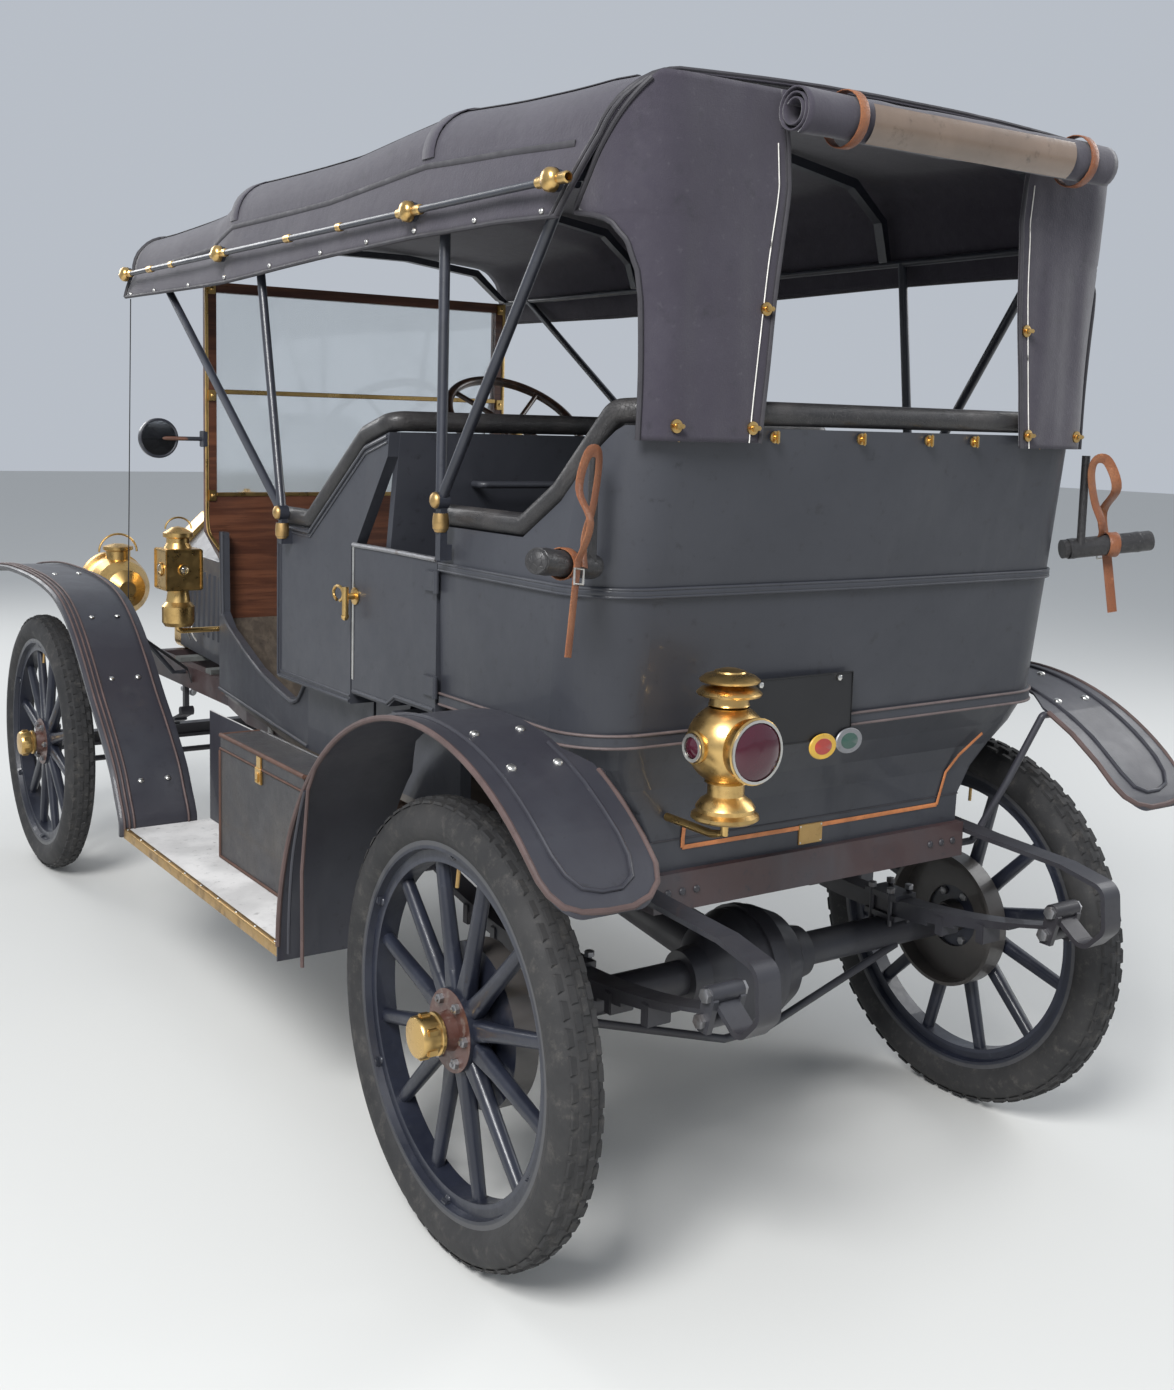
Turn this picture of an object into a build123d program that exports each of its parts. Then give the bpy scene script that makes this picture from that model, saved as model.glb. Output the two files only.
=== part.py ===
# Brass era touring car of about 1909: pressed frame on outboard springs, wooden wheels, open
# five-seat body with one pair of doors, folding top and brass lamps. Millimetres, +Z up, the
# car faces +Y and its left side is -X. All y values below are stations ahead of the rear axle;
# every piece is moved by ORIGIN_SHIFT as it is written, so that the origin is the centre of
# the floor that the car covers.
from build123d import *
from math import cos, degrees, radians, sin, sqrt
import os

os.makedirs("parts", exist_ok=True)

# Running gear
WHEELBASE = 3047
TRACK = 1422
WHEEL_X = TRACK / 2
TYRE_R = 457
TYRE_SECTION_R = 51
TYRE_BED_R = 364
RIM_FLANGE_R = 372
FELLOE_R = 328
SPOKES = 12
HUB_R = 40
HUB_FLANGE_R = 82
HUB_REACH = 88
HUB_INNER = 61
SPINDLE_R = 22
RUNNING_FIT = 0.05
DRUM_R = 165
AXLE_Z = TYRE_R
KINGPIN_X = 625
KINGPIN_R = 11
ARM_BACK = 150
ARM_IN = 170
TIE_ROD_Z = 409
LINK_FRONT_Z = 553
LINK_REAR_Z = 525
PITMAN_L = 225
PITMAN_Y = WHEELBASE - 850
PITMAN_Z = 745

# Frame and springs
FRAME_TOP = 783
FRAME_DEPTH = 76
FRAME_REAR = -240
RAIL_REAR_X = 428
RAIL_FRONT_X = 372
RAIL_FLANGE = 40
RAIL_WALL = 6
SPRING_X = 460
SPRING_W = 50
FRONT_SPRING_X = 352
FRONT_SPRING_W = 45
LEAF = 8

# Body
FLOOR_T = 17
BODY_LOW = FRAME_TOP + FLOOR_T
BODY_X = 640
LOWER_X = 580
SEAT_FOOT_Y = 1040
WALL = 26
LIP_Z = 1080
DOOR_REAR = 250
DOOR_FRONT = 662
DOOR_TOP = 1357
ARM_Z = 1425
DASH_Y = 1944
DASH_T = 32
DASH_X = 460
POST_X = 514
POST_TOP = 2035

# Front end
BONNET_REAR_X = 340
BONNET_FRONT = 2890
RADIATOR_X = 262
RADIATOR_TOP = 1290
RADIATOR_T = 100

# Wings and boards
WING_R = 632
WING_Y = -40
WING_TAIL = -532
WING_T = 5
WING_OUT = 850
WING_IN = 600
LIP_WING_IN = 645
BOARD_Z = 457
BOARD_T = 26
BOARD_OUT = 838
BOARD_IN = 580
BOARD_REAR = 593
BOARD_FRONT = 1735

# Top
CLOTH = 8
ROD_Z = 2055
OUTER_ROD_X = 690

# Overall reach, from the back of the spring scrolls to the starting handle
REAR_REACH = 622
FRONT_REACH = 600
ORIGIN_SHIFT = (REAR_REACH - WHEELBASE - FRONT_REACH) / 2

SIDES = {"left": -1, "right": 1}


def keep(part, label):
    """Moves a finished piece to the shared origin and writes it."""
    moved = part.moved(Location((0, ORIGIN_SHIFT, 0)))
    moved.label = label
    export_step(moved, f"parts/{label}.step")


def block(x0, x1, y0, y1, z0, z1):
    """A plain block between two corners."""
    with BuildPart() as piece:
        with Locations(((x0 + x1) / 2, (y0 + y1) / 2, (z0 + z1) / 2)):
            Box(abs(x1 - x0), abs(y1 - y0), abs(z1 - z0))
    return piece.part


def drum(centre, axis, radius, length, bore=0):
    """A round bar centred on a point along an axis, bored through where bore is given."""
    with BuildPart() as piece:
        with BuildSketch(Plane(origin=centre, z_dir=axis)):
            Circle(radius)
            if bore:
                Circle(bore, mode=Mode.SUBTRACT)
        extrude(amount=length / 2, both=True)
    return piece.part


def rod(points, radius, bend=0):
    """A round bar along points, its corners bent to the radius given."""
    with BuildPart() as piece:
        with BuildLine() as path:
            if bend:
                FilletPolyline(*points, radius=bend)
            else:
                Polyline(*points)
        with BuildSketch(Plane(origin=path.line @ 0, z_dir=path.line % 0)):
            Circle(radius)
        sweep(transition=Transition.ROUND)
    return piece.part


def side_plate(x0, x1, points, bend=0):
    """A plate drawn in side view as (y, z) points, from x0 to x1."""
    with BuildPart() as piece:
        with BuildSketch(Plane(origin=(x0, 0, 0), x_dir=(0, 1, 0), z_dir=(1, 0, 0))) as outline:
            Polygon(*points, align=None)
            if bend:
                fillet(outline.vertices(), bend)
        extrude(amount=x1 - x0)
    return piece.part


def cross_plate(y0, y1, points, bend=0):
    """A plate drawn in end view as (x, z) points, from y0 to y1."""
    with BuildPart() as piece:
        with BuildSketch(Plane(origin=(0, y0, 0), x_dir=(1, 0, 0), z_dir=(0, -1, 0))) as outline:
            Polygon(*points, align=None)
            if bend:
                fillet(outline.vertices(), bend)
        extrude(amount=-(y1 - y0))
    return piece.part


def plan_plate(z0, z1, points, bend=0):
    """A plate drawn in plan as (x, y) points, from z0 to z1."""
    with BuildPart() as piece:
        with BuildSketch(Plane.XY.offset(z0)) as outline:
            Polygon(*points, align=None)
            if bend:
                fillet(outline.vertices(), bend)
        extrude(amount=z1 - z0)
    return piece.part


def bent_strip(x0, x1, points, bend, thickness):
    """A sheet of metal bent along (y, z) points in side view, from x0 to x1."""
    plane = Plane(origin=(x0, 0, 0), x_dir=(0, 1, 0), z_dir=(1, 0, 0))
    with BuildPart() as piece:
        with BuildSketch(plane):
            with BuildLine():
                FilletPolyline(*points, radius=bend)
                offset(amount=thickness, side=Side.LEFT)
            make_face()
        extrude(amount=x1 - x0)
    return piece.part


def both_sides(part):
    """A left-hand piece and its mirror image."""
    with BuildPart() as pair:
        add(part)
        mirror(about=Plane.YZ)
    return pair.part


def leaf_pack(x, width, y, low_z, camber_r, half_spans):
    """Curved spring leaves stacked on a low point, the shortest first; arcs share a centre."""
    plane = Plane(origin=(x - width / 2, y, low_z + camber_r), x_dir=(0, 1, 0), z_dir=(1, 0, 0))
    with BuildPart() as pack:
        for number, half_span in enumerate(half_spans):
            outer = camber_r - number * LEAF
            half_angle = degrees(half_span / outer)
            with BuildSketch(plane):
                with BuildLine():
                    low = CenterArc((0, 0), outer, 270 - half_angle, 2 * half_angle)
                    top = CenterArc((0, 0), outer - LEAF, 270 - half_angle, 2 * half_angle)
                    Line(low @ 0, top @ 0)
                    Line(low @ 1, top @ 1)
                make_face()
            extrude(amount=width)
    return pack.part


# Frame: two pressed channels, swept in at the front, with forged horns and cross members
def rail_plan(inner, outer):
    """Plan outline of a band along the left rail, from inner to outer mm off its outer face."""
    stations = ((FRAME_REAR, RAIL_REAR_X), (1850, RAIL_REAR_X), (2150, RAIL_FRONT_X),
                (3160, RAIL_FRONT_X))
    edge = [(-(x - inner), y) for y, x in stations]
    back = [(-(x - outer), y) for y, x in reversed(stations)]
    return edge + back


FRAME_LOW = FRAME_TOP - FRAME_DEPTH
CROSS_MEMBERS = (  # y0, y1, half width
    (FRAME_REAR, FRAME_REAR + 46, RAIL_REAR_X - RAIL_WALL),
    (470, 516, RAIL_REAR_X - RAIL_WALL),
    (1180, 1226, RAIL_REAR_X - RAIL_WALL),
    (1700, 1746, RAIL_REAR_X - RAIL_WALL),
    (2900, 2946, RAIL_FRONT_X - RAIL_WALL),
)
HORN = ((3158, 783), (3300, 772), (3440, 725), (3516, 680), (3522, 640), (3505, 629), (3466, 629),
        (3440, 648), (3380, 672), (3280, 700), (3158, 707))
with BuildPart() as left_rail:
    add(plan_plate(FRAME_LOW, FRAME_TOP, rail_plan(0, RAIL_WALL)))
    add(plan_plate(FRAME_LOW, FRAME_LOW + RAIL_WALL, rail_plan(0, RAIL_FLANGE)))
    add(plan_plate(FRAME_TOP - RAIL_WALL, FRAME_TOP, rail_plan(0, RAIL_FLANGE)))
    add(side_plate(-RAIL_FRONT_X, -RAIL_FRONT_X + RAIL_FLANGE, HORN))
with BuildPart() as frame:
    add(both_sides(left_rail.part))
    for y0, y1, half in CROSS_MEMBERS:
        with Locations((0, (y0 + y1) / 2, (FRAME_LOW + FRAME_TOP) / 2)):
            Box(2 * half, y1 - y0, FRAME_DEPTH - 0.02)
    add(drum((RAIL_FRONT_X + 40, PITMAN_Y, PITMAN_Z), (1, 0, 0), 14, 80))
    add(drum((0, 3400, 690), (0, 1, 0), 24, 60))
    add(rod([(-RAIL_FRONT_X + 20, 3400, 690), (RAIL_FRONT_X - 20, 3400, 690)], 18))
    with BuildSketch(Plane(origin=(0, 3360, 690), z_dir=(0, 1, 0))):
        Circle(10 + RUNNING_FIT)
    extrude(amount=80, mode=Mode.SUBTRACT)
keep(frame.part, "frame")

# Rear axle: tubes, differential housing, torque tube and truss rods, with a spindle each side
SHOULDER = 1
with BuildPart() as rear_axle:
    add(drum((0, 0, AXLE_Z), (1, 0, 0), 38, 2 * (WHEEL_X - 110)))
    add(drum((0, 0, AXLE_Z), (1, 0, 0), SPINDLE_R, 2 * (WHEEL_X + 55)))
    add(drum((0, 0, AXLE_Z), (1, 0, 0), 32, 2 * (WHEEL_X - HUB_INNER - SHOULDER)))
    with BuildSketch(Plane.XZ.offset(0)):
        Polygon((-170, AXLE_Z), (-170, AXLE_Z + 58), (-128, AXLE_Z + 66), (-92, AXLE_Z + 104),
                (-36, AXLE_Z + 128),
                (36, AXLE_Z + 128), (92, AXLE_Z + 104), (128, AXLE_Z + 66), (170, AXLE_Z + 58),
                    (170, AXLE_Z),
                align=None)
    revolve(axis=Axis((0, 0, AXLE_Z), (1, 0, 0)))
    with BuildSketch(Plane(origin=(0, 60, AXLE_Z), z_dir=(0, 1, 0))):
        Circle(60)
    with BuildSketch(Plane(origin=(0, 1150, AXLE_Z + 110), z_dir=(0, 1, 0))):
        Circle(36)
    loft()
    add(rod([(-460, -24, 429), (-60, -24, 304), (60, -24, 304), (460, -24, 429)], 9))
keep(rear_axle.part, "rear_axle")

# Front axle: I beam with a yoke at each end, bored for the kingpins
LUG_LOW = (394, 414)
LUG_HIGH = (500, 520)
with BuildPart() as left_yoke:
    add(block(-600, -560, WHEELBASE - 24, WHEELBASE + 24, LUG_LOW[0], LUG_HIGH[1]))
    for z0, z1 in (LUG_LOW, LUG_HIGH):
        add(drum((-KINGPIN_X, WHEELBASE, (z0 + z1) / 2), (0, 0, 1), 25, z1 - z0))
        add(block(-KINGPIN_X, -590, WHEELBASE - 24, WHEELBASE + 24, z0, z1))
    for z0, z1 in (LUG_LOW, LUG_HIGH):
        with BuildSketch(Plane.XY.offset(z0)):
            with Locations((-KINGPIN_X, WHEELBASE)):
                Circle(KINGPIN_R + RUNNING_FIT)
        extrude(amount=z1 - z0, mode=Mode.SUBTRACT)
with BuildPart() as front_axle:
    add(both_sides(left_yoke.part))
    for y0, y1, z0, z1 in ((-24, 24, 428, 440), (-8, 8, 440, 468), (-24, 24, 468, 480)):
        add(block(-562, 562, WHEELBASE + y0, WHEELBASE + y1, z0, z1))
keep(front_axle.part, "front_axle")

# Springs: semi-elliptic in front, three-quarter elliptic with scrolls behind
FRONT_CAMBER_R = 1232
FRONT_EYES = ((WHEELBASE - 441, 612), (WHEELBASE + 441, 612))
HORN_SEAT_Z = 629
REAR_PACK_LOW = AXLE_Z + 48
with BuildPart() as front_spring:
    add(leaf_pack(-FRONT_SPRING_X, FRONT_SPRING_W, WHEELBASE, 482, FRONT_CAMBER_R,
                  (150, 230, 310, 390, 450)))
    add(block(-FRONT_SPRING_X - 30, -FRONT_SPRING_X + 30, WHEELBASE - 24, WHEELBASE + 24, 480, 490))
    add(block(-FRONT_SPRING_X - 30, -FRONT_SPRING_X + 30, WHEELBASE - 40, WHEELBASE + 40, 520, 534))
    for y, z in FRONT_EYES:
        add(drum((-FRONT_SPRING_X, y, z), (1, 0, 0), 16, FRONT_SPRING_W))
    front_y, front_z = FRONT_EYES[1]
    add(block(-FRONT_SPRING_X - 12, -FRONT_SPRING_X + 12, front_y - 10, front_y + 10, front_z, HORN_SEAT_Z))
    add(block(-FRONT_SPRING_X - 8, -FRONT_SPRING_X + 8, 2600, 2622, 604, FRAME_LOW))

SCROLL = ((150, 772), (-40, 772), (-300, 752), (-500, 742), (-604, 722), (-612, 640), (-566, 592),
          (-500, 640))
with BuildPart() as rear_spring:
    add(leaf_pack(-SPRING_X, SPRING_W, 39, REAR_PACK_LOW, 2050, (180, 260, 340, 420, 520)))
    add(block(-SPRING_X - 34, -SPRING_X + 34, -50, 50, AXLE_Z + 38, REAR_PACK_LOW + 3))
    add(block(-SPRING_X - 34, -SPRING_X + 34, -50, 50, REAR_PACK_LOW + 38, REAR_PACK_LOW + 52))
    with BuildSketch(Plane(origin=(-SPRING_X - SPRING_W / 2, 0, 0), x_dir=(0, 1, 0), z_dir=(1, 0, 0))):
        with BuildLine():
            FilletPolyline(*SCROLL, radius=24)
            offset(amount=10, side=Side.RIGHT)
        make_face()
    extrude(amount=SPRING_W)
    for y, z in ((-481, 596), (-496, 648), (558, 612)):
        add(drum((-SPRING_X, y, z), (1, 0, 0), 17, SPRING_W + 24))
    for x in (-SPRING_X - 37, -SPRING_X + 25):
        add(side_plate(x, x + 12, ((-500, 655), (-515, 640), (-497, 575), (-470, 575), (-482, 655))))
    add(side_plate(-SPRING_X + 25, -RAIL_REAR_X, ((-60, 762), (150, 762), (150, 720), (-60, 720))))
    add(side_plate(-SPRING_X - 25, -RAIL_REAR_X, ((-60, 762), (150, 762), (150, 720), (-60, 720))))
    add(side_plate(-SPRING_X + 25, -RAIL_REAR_X, ((500, 740), (620, 740), (580, 600), (540, 600))))
with BuildPart() as springs:
    add(both_sides(front_spring.part))
    add(both_sides(rear_spring.part))
keep(springs.part, "springs")

# Wheels: twelve wooden spokes, steel rim, detachable hub flange and brass cap; x points outward
CORNERS = {  # name: (side, y, has brake drum)
    "front_left": (-1, WHEELBASE, False),
    "front_right": (1, WHEELBASE, False),
    "rear_left": (-1, 0, True),
    "rear_right": (1, 0, True),
}
with BuildPart() as tyre:
    with BuildSketch(Plane.XY):
        Polygon((-27, TYRE_BED_R), (-27, TYRE_BED_R + 13), (-TYRE_SECTION_R, 392), (-46, 430),
                (-22, TYRE_R),
                (22, TYRE_R), (46, 430), (TYRE_SECTION_R, 392), (27, TYRE_BED_R + 13), (27, TYRE_BED_R),
                align=None)
    revolve(axis=Axis.X)

SPOKE_SECTIONS = (  # distance from the axle, width, thickness, corner radius
    (HUB_FLANGE_R - 4, 40, 34, 9),
    (150, 33, 32, 14),
    (FELLOE_R + 4, 28, 26, 11),
)
with BuildPart() as spoke:
    for reach, width, depth, corner in SPOKE_SECTIONS:
        with BuildSketch(Plane.XY.offset(reach)):
            RectangleRounded(depth, width, corner)
    loft(ruled=True)

with BuildPart() as wheel:
    with BuildSketch(Plane.XY):
        Polygon((-36, RIM_FLANGE_R), (-29.5, RIM_FLANGE_R), (-29, TYRE_BED_R), (29, TYRE_BED_R),
                (29.5, RIM_FLANGE_R), (36, RIM_FLANGE_R), (36, TYRE_BED_R - 8), (22, TYRE_BED_R - 12),
                (22, FELLOE_R), (-22, FELLOE_R), (-22, TYRE_BED_R - 12), (-36, TYRE_BED_R - 8),
                align=None)
        Polygon((-HUB_INNER, SPINDLE_R + RUNNING_FIT), (-HUB_INNER, HUB_R - 4), (-26, HUB_R),
                (-26, HUB_FLANGE_R), (26, HUB_FLANGE_R), (26, HUB_R), (58, HUB_R - 6),
                (58, SPINDLE_R + RUNNING_FIT), align=None)
        Polygon((58, 0), (58, HUB_R - 8), (62, HUB_R - 8), (HUB_REACH - 4, HUB_R - 14),
                (HUB_REACH, HUB_R - 20), (HUB_REACH, 0), align=None)
    revolve(axis=Axis.X)
    for number in range(SPOKES):
        add(spoke.part.rotate(Axis.X, (number + 0.5) * 360 / SPOKES))

with BuildPart() as drum_wheel:
    add(wheel.part)
    with BuildSketch(Plane.XY):
        Polygon((-26, HUB_FLANGE_R - 6), (-26, DRUM_R), (-78, DRUM_R), (-78, DRUM_R - 8),
                (-34, DRUM_R - 8), (-34, HUB_FLANGE_R - 6), align=None)
    revolve(axis=Axis.X)

for corner, (side, y, has_drum) in CORNERS.items():
    place = Location((side * WHEEL_X, y, AXLE_Z), (0, 0, 0 if side > 0 else 180))
    keep((drum_wheel if has_drum else wheel).part.moved(place), f"wheel_{corner}")
    keep(tyre.part.moved(place), f"tyre_{corner}")

# Knuckles: barrel with its kingpin, spindle and steering arm; the right one also pulls on a link
BARREL = (LUG_LOW[1] + 2, LUG_HIGH[0] - 2)
ARM_Z0, ARM_Z1 = 424, 440
with BuildPart() as left_knuckle:
    add(drum((-KINGPIN_X, WHEELBASE, sum(BARREL) / 2), (0, 0, 1), 25, BARREL[1] - BARREL[0]))
    add(drum((-KINGPIN_X, WHEELBASE, 472), (0, 0, 1), KINGPIN_R, 160))
    add(drum((-KINGPIN_X - 14, WHEELBASE, AXLE_Z), (1, 0, 0), 30, 20))
    add(drum((-(KINGPIN_X + WHEEL_X + 55) / 2, WHEELBASE, AXLE_Z), (1, 0, 0), SPINDLE_R,
             WHEEL_X + 55 - KINGPIN_X))
    add(block(-KINGPIN_X - 12, -KINGPIN_X + 12, WHEELBASE - ARM_BACK, WHEELBASE, ARM_Z0, ARM_Z1))
    add(drum((-KINGPIN_X, WHEELBASE - ARM_BACK, (ARM_Z0 + ARM_Z1) / 2), (0, 0, 1), 15, 18))
    add(drum((-KINGPIN_X, WHEELBASE - ARM_BACK, TIE_ROD_Z + 8), (0, 0, 1), 7, 48))
keep(left_knuckle.part, "knuckle_left")

with BuildPart() as right_knuckle:
    mirror(left_knuckle.part, about=Plane.YZ)
    add(block(KINGPIN_X - ARM_IN, KINGPIN_X, WHEELBASE - 13, WHEELBASE + 13, 526, 542))
    for x in (KINGPIN_X, KINGPIN_X - ARM_IN):
        add(drum((x, WHEELBASE, 534), (0, 0, 1), 18, 16))
    add(drum((KINGPIN_X - ARM_IN, WHEELBASE, 553), (0, 0, 1), 7, 30))
keep(right_knuckle.part, "knuckle_right")

# Tie rod and drag link, with an eye for a pin at each end
EYE_T = 24
with BuildPart() as tie_rod:
    add(drum((0, WHEELBASE - ARM_BACK, TIE_ROD_Z), (1, 0, 0), 10, 2 * KINGPIN_X - 24))
    for side in SIDES.values():
        add(drum((side * KINGPIN_X, WHEELBASE - ARM_BACK, TIE_ROD_Z), (0, 0, 1), 16, EYE_T))
    for side in SIDES.values():
        with BuildSketch(Plane.XY.offset(TIE_ROD_Z - EYE_T)):
            with Locations((side * KINGPIN_X, WHEELBASE - ARM_BACK)):
                Circle(7 + RUNNING_FIT)
        extrude(amount=2 * EYE_T, mode=Mode.SUBTRACT)
keep(tie_rod.part, "tie_rod")

LINK_X = KINGPIN_X - ARM_IN
REAR_EYE_R = 15
with BuildPart() as drag_link:
    add(rod([(LINK_X, PITMAN_Y + 20, LINK_REAR_Z), (LINK_X, WHEELBASE - 12, LINK_FRONT_Z)], 9))
    add(drum((LINK_X, PITMAN_Y, LINK_REAR_Z), (1, 0, 0), REAR_EYE_R + 8, 24))
    add(drum((LINK_X, WHEELBASE, LINK_FRONT_Z), (0, 0, 1), 17, 20))
    with BuildSketch(Plane.YZ.offset(LINK_X - 20)):
        with Locations((PITMAN_Y, LINK_REAR_Z)):
            Circle(REAR_EYE_R)
    extrude(amount=40, mode=Mode.SUBTRACT)
    with BuildSketch(Plane.XY.offset(LINK_FRONT_Z - 20)):
        with Locations((LINK_X, WHEELBASE)):
            Circle(7 + RUNNING_FIT)
    extrude(amount=40, mode=Mode.SUBTRACT)
keep(drag_link.part, "drag_link")

PITMAN_X = (418, 434)
with BuildPart() as pitman_arm:
    with BuildSketch(Plane.YZ.offset(PITMAN_X[0])):
        with Locations((PITMAN_Y, PITMAN_Z)):
            Circle(28)
        with Locations((PITMAN_Y, PITMAN_Z - PITMAN_L)):
            Circle(15)
        Polygon((PITMAN_Y - 22, PITMAN_Z), (PITMAN_Y + 22, PITMAN_Z),
                (PITMAN_Y + 13, PITMAN_Z - PITMAN_L), (PITMAN_Y - 13, PITMAN_Z - PITMAN_L), align=None)
        with Locations((PITMAN_Y, PITMAN_Z)):
            Circle(14 + RUNNING_FIT, mode=Mode.SUBTRACT)
    extrude(amount=PITMAN_X[1] - PITMAN_X[0])
    add(drum((460, PITMAN_Y, PITMAN_Z - PITMAN_L), (1, 0, 0), 8, 54))
keep(pitman_arm.part, "pitman_arm")

# Steering column and wheel on the right, raked through the dash
COLUMN_TOP = Vector(310, 1520, 1640)
COLUMN_FOOT = Vector(310, 2190, 772)
COLUMN_DIR = (COLUMN_TOP - COLUMN_FOOT).normalized()
HUB_DOWN = 46
with BuildPart() as steering_column:
    with BuildSketch(Plane(origin=COLUMN_FOOT, z_dir=COLUMN_DIR)):
        Circle(19)
    extrude(amount=(COLUMN_TOP - COLUMN_FOOT).length - HUB_DOWN)
    with BuildSketch(Plane(origin=COLUMN_FOOT, z_dir=COLUMN_DIR)):
        Circle(9)
    extrude(amount=(COLUMN_TOP - COLUMN_FOOT).length + 10)
    add(block(262, RAIL_FRONT_X - RAIL_FLANGE - 2, 2130, 2260, 690, 790))
    add(block(300, RAIL_FRONT_X - RAIL_WALL, 2165, 2229, 716, 774))
keep(steering_column.part, "steering_column")

STEER_R = 215
with BuildPart() as steering_wheel:
    rim_plane = Plane(origin=COLUMN_TOP, x_dir=(1, 0, 0), z_dir=COLUMN_DIR)
    add(rim_plane.location * Torus(STEER_R, 14, mode=Mode.PRIVATE))
    with BuildSketch(rim_plane.offset(-HUB_DOWN + 3)):
        Circle(34)
    extrude(amount=HUB_DOWN + 3)
    for number in range(4):
        turn = radians(45 + 90 * number)
        tip = rim_plane.from_local_coords(Vector(STEER_R * cos(turn), STEER_R * sin(turn), 0))
        root = rim_plane.from_local_coords(Vector(20 * cos(turn), 20 * sin(turn), -14))
        add(rod([root, tip], 8))
    with BuildSketch(rim_plane.offset(-HUB_DOWN - 10)):
        Circle(9 + RUNNING_FIT)
    extrude(amount=HUB_DOWN + 40, mode=Mode.SUBTRACT)
keep(steering_wheel.part, "steering_wheel")

# Engine and radiator
with BuildPart() as engine:
    add(block(-190, 190, 2080, 2700, 650, 900))
    add(block(-120, 120, 2110, 2680, 900, 1130))
    for y in (2320, 2620):
        for side in SIDES.values():
            add(block(side * 180, side * (RAIL_FRONT_X - 4), y, y + 50, FRAME_TOP, FRAME_TOP + 16))
keep(engine.part, "engine")

RADIATOR_FRONT = BONNET_FRONT + RADIATOR_T
RADIATOR_OUTLINE = ((-RADIATOR_X, FRAME_TOP), (RADIATOR_X, FRAME_TOP), (RADIATOR_X, 1180),
                    (150, RADIATOR_TOP), (-150, RADIATOR_TOP), (-RADIATOR_X, 1180))
with BuildPart() as radiator:
    add(cross_plate(BONNET_FRONT + 2, RADIATOR_FRONT, RADIATOR_OUTLINE, 30))
    with Locations((0, RADIATOR_FRONT - 6, 1000)):
        Box(430, 12.1, 330, mode=Mode.SUBTRACT)
    add(drum((0, BONNET_FRONT + 50, RADIATOR_TOP + 18), (0, 0, 1), 32, 40))
    add(drum((0, BONNET_FRONT + 50, RADIATOR_TOP + 44), (0, 0, 1), 42, 14))
with BuildPart() as radiator_core:
    for row in range(10):
        add(block(-217, 217, RADIATOR_FRONT - 14, RADIATOR_FRONT - 2, 840 + row * 33, 855 + row * 33))
with BuildPart() as radiator_whole:
    add(radiator.part)
    add(radiator_core.part)
keep(radiator_whole.part, "radiator")

# Bonnet: two lids hinged along the top, each a bent sheet from the hinge down to the frame
HINGE_GAP = 7
HINGE_R = 5
HINGE_Z = 1298


def bonnet_barrels(side, spans):
    """Hinge barrels of one lid, each with its leaf, over spans along the bonnet."""
    with BuildPart() as barrels:
        for y0, y1 in spans:
            add(drum((0, (y0 + y1) / 2, HINGE_Z), (0, 1, 0), HINGE_R, y1 - y0))
            add(block(side * HINGE_GAP, 0, y0, y1, HINGE_Z - 1, HINGE_Z + 2))
    return barrels.part


def bonnet_section(half, top, drop):
    """Section of one lid as (x, z) points: outside down, inside back up."""
    sheet = 3
    outside = ((-HINGE_GAP, top), (-half * 0.55, top - 25), (-half, top - 150), (-half - 8, drop))
    inside = [(x + sheet, z - sheet * (number < 2)) for number, (x, z) in enumerate(outside)]
    inside[0] = (-HINGE_GAP, top - sheet)
    return list(outside) + inside[::-1]


def bonnet_sheet(stations):
    """One side of the bonnet between stations given as (y, half width, top z)."""
    with BuildPart() as sheet:
        for y, half, top in stations:
            with BuildSketch(Plane(origin=(0, y, 0), x_dir=(1, 0, 0), z_dir=(0, -1, 0))):
                Polygon(*bonnet_section(half, top, FRAME_TOP + 22), align=None)
        loft(ruled=True)
    return sheet.part


LID_REAR = DASH_Y + DASH_T + 36
with BuildPart() as bonnet:
    add(bonnet_sheet(((LID_REAR, BONNET_REAR_X, 1300), (BONNET_FRONT - 2, RADIATOR_X + 4, 1300))))
left_barrels = bonnet_barrels(-1, ((2025, 2200), (2420, 2600)))
keep(Compound([*bonnet.part.solids(), *left_barrels.solids()]), "bonnet_left")
with BuildPart() as bonnet_rest:
    add(bonnet_sheet(((DASH_Y + DASH_T, BONNET_REAR_X + 3, 1301), (LID_REAR - 5, BONNET_REAR_X, 1300))))
    mirror(about=Plane.YZ)
    add(block(-HINGE_GAP - 2, HINGE_GAP + 2, DASH_Y + DASH_T, LID_REAR - 5, 1290, 1300))
right_lid = bonnet.part.mirror(Plane.YZ)
right_barrels = bonnet_barrels(1, ((2215, 2405), (2615, 2860)))
keep(Compound([*right_lid.solids(), *right_barrels.solids()]), "bonnet_right")

with BuildPart() as crank:
    add(rod([(0, RADIATOR_FRONT + 5, 690), (0, WHEELBASE + FRONT_REACH - 130, 690),
             (0, WHEELBASE + FRONT_REACH - 130, 500), (0, WHEELBASE + FRONT_REACH, 500)], 10, 14))
    add(rod([(0, WHEELBASE + FRONT_REACH - 110, 500), (0, WHEELBASE + FRONT_REACH, 500)], 15))
keep(crank.part, "starting_crank")

# Floor, seat box and the tucked-in lower panels, which stand on the frame
with BuildPart() as floor:
    add(plan_plate(FRAME_TOP, BODY_LOW, ((-LOWER_X, 252), (LOWER_X, 252), (LOWER_X, SEAT_FOOT_Y),
                                         (DASH_X, DASH_Y - 1), (-DASH_X, DASH_Y - 1),
                                         (-LOWER_X, SEAT_FOOT_Y))))
    add(side_plate(-440, 440, ((1700, BODY_LOW), (1722, BODY_LOW), (DASH_Y - 1, 1000),
                               (DASH_Y - 1, 1022))))

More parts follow.
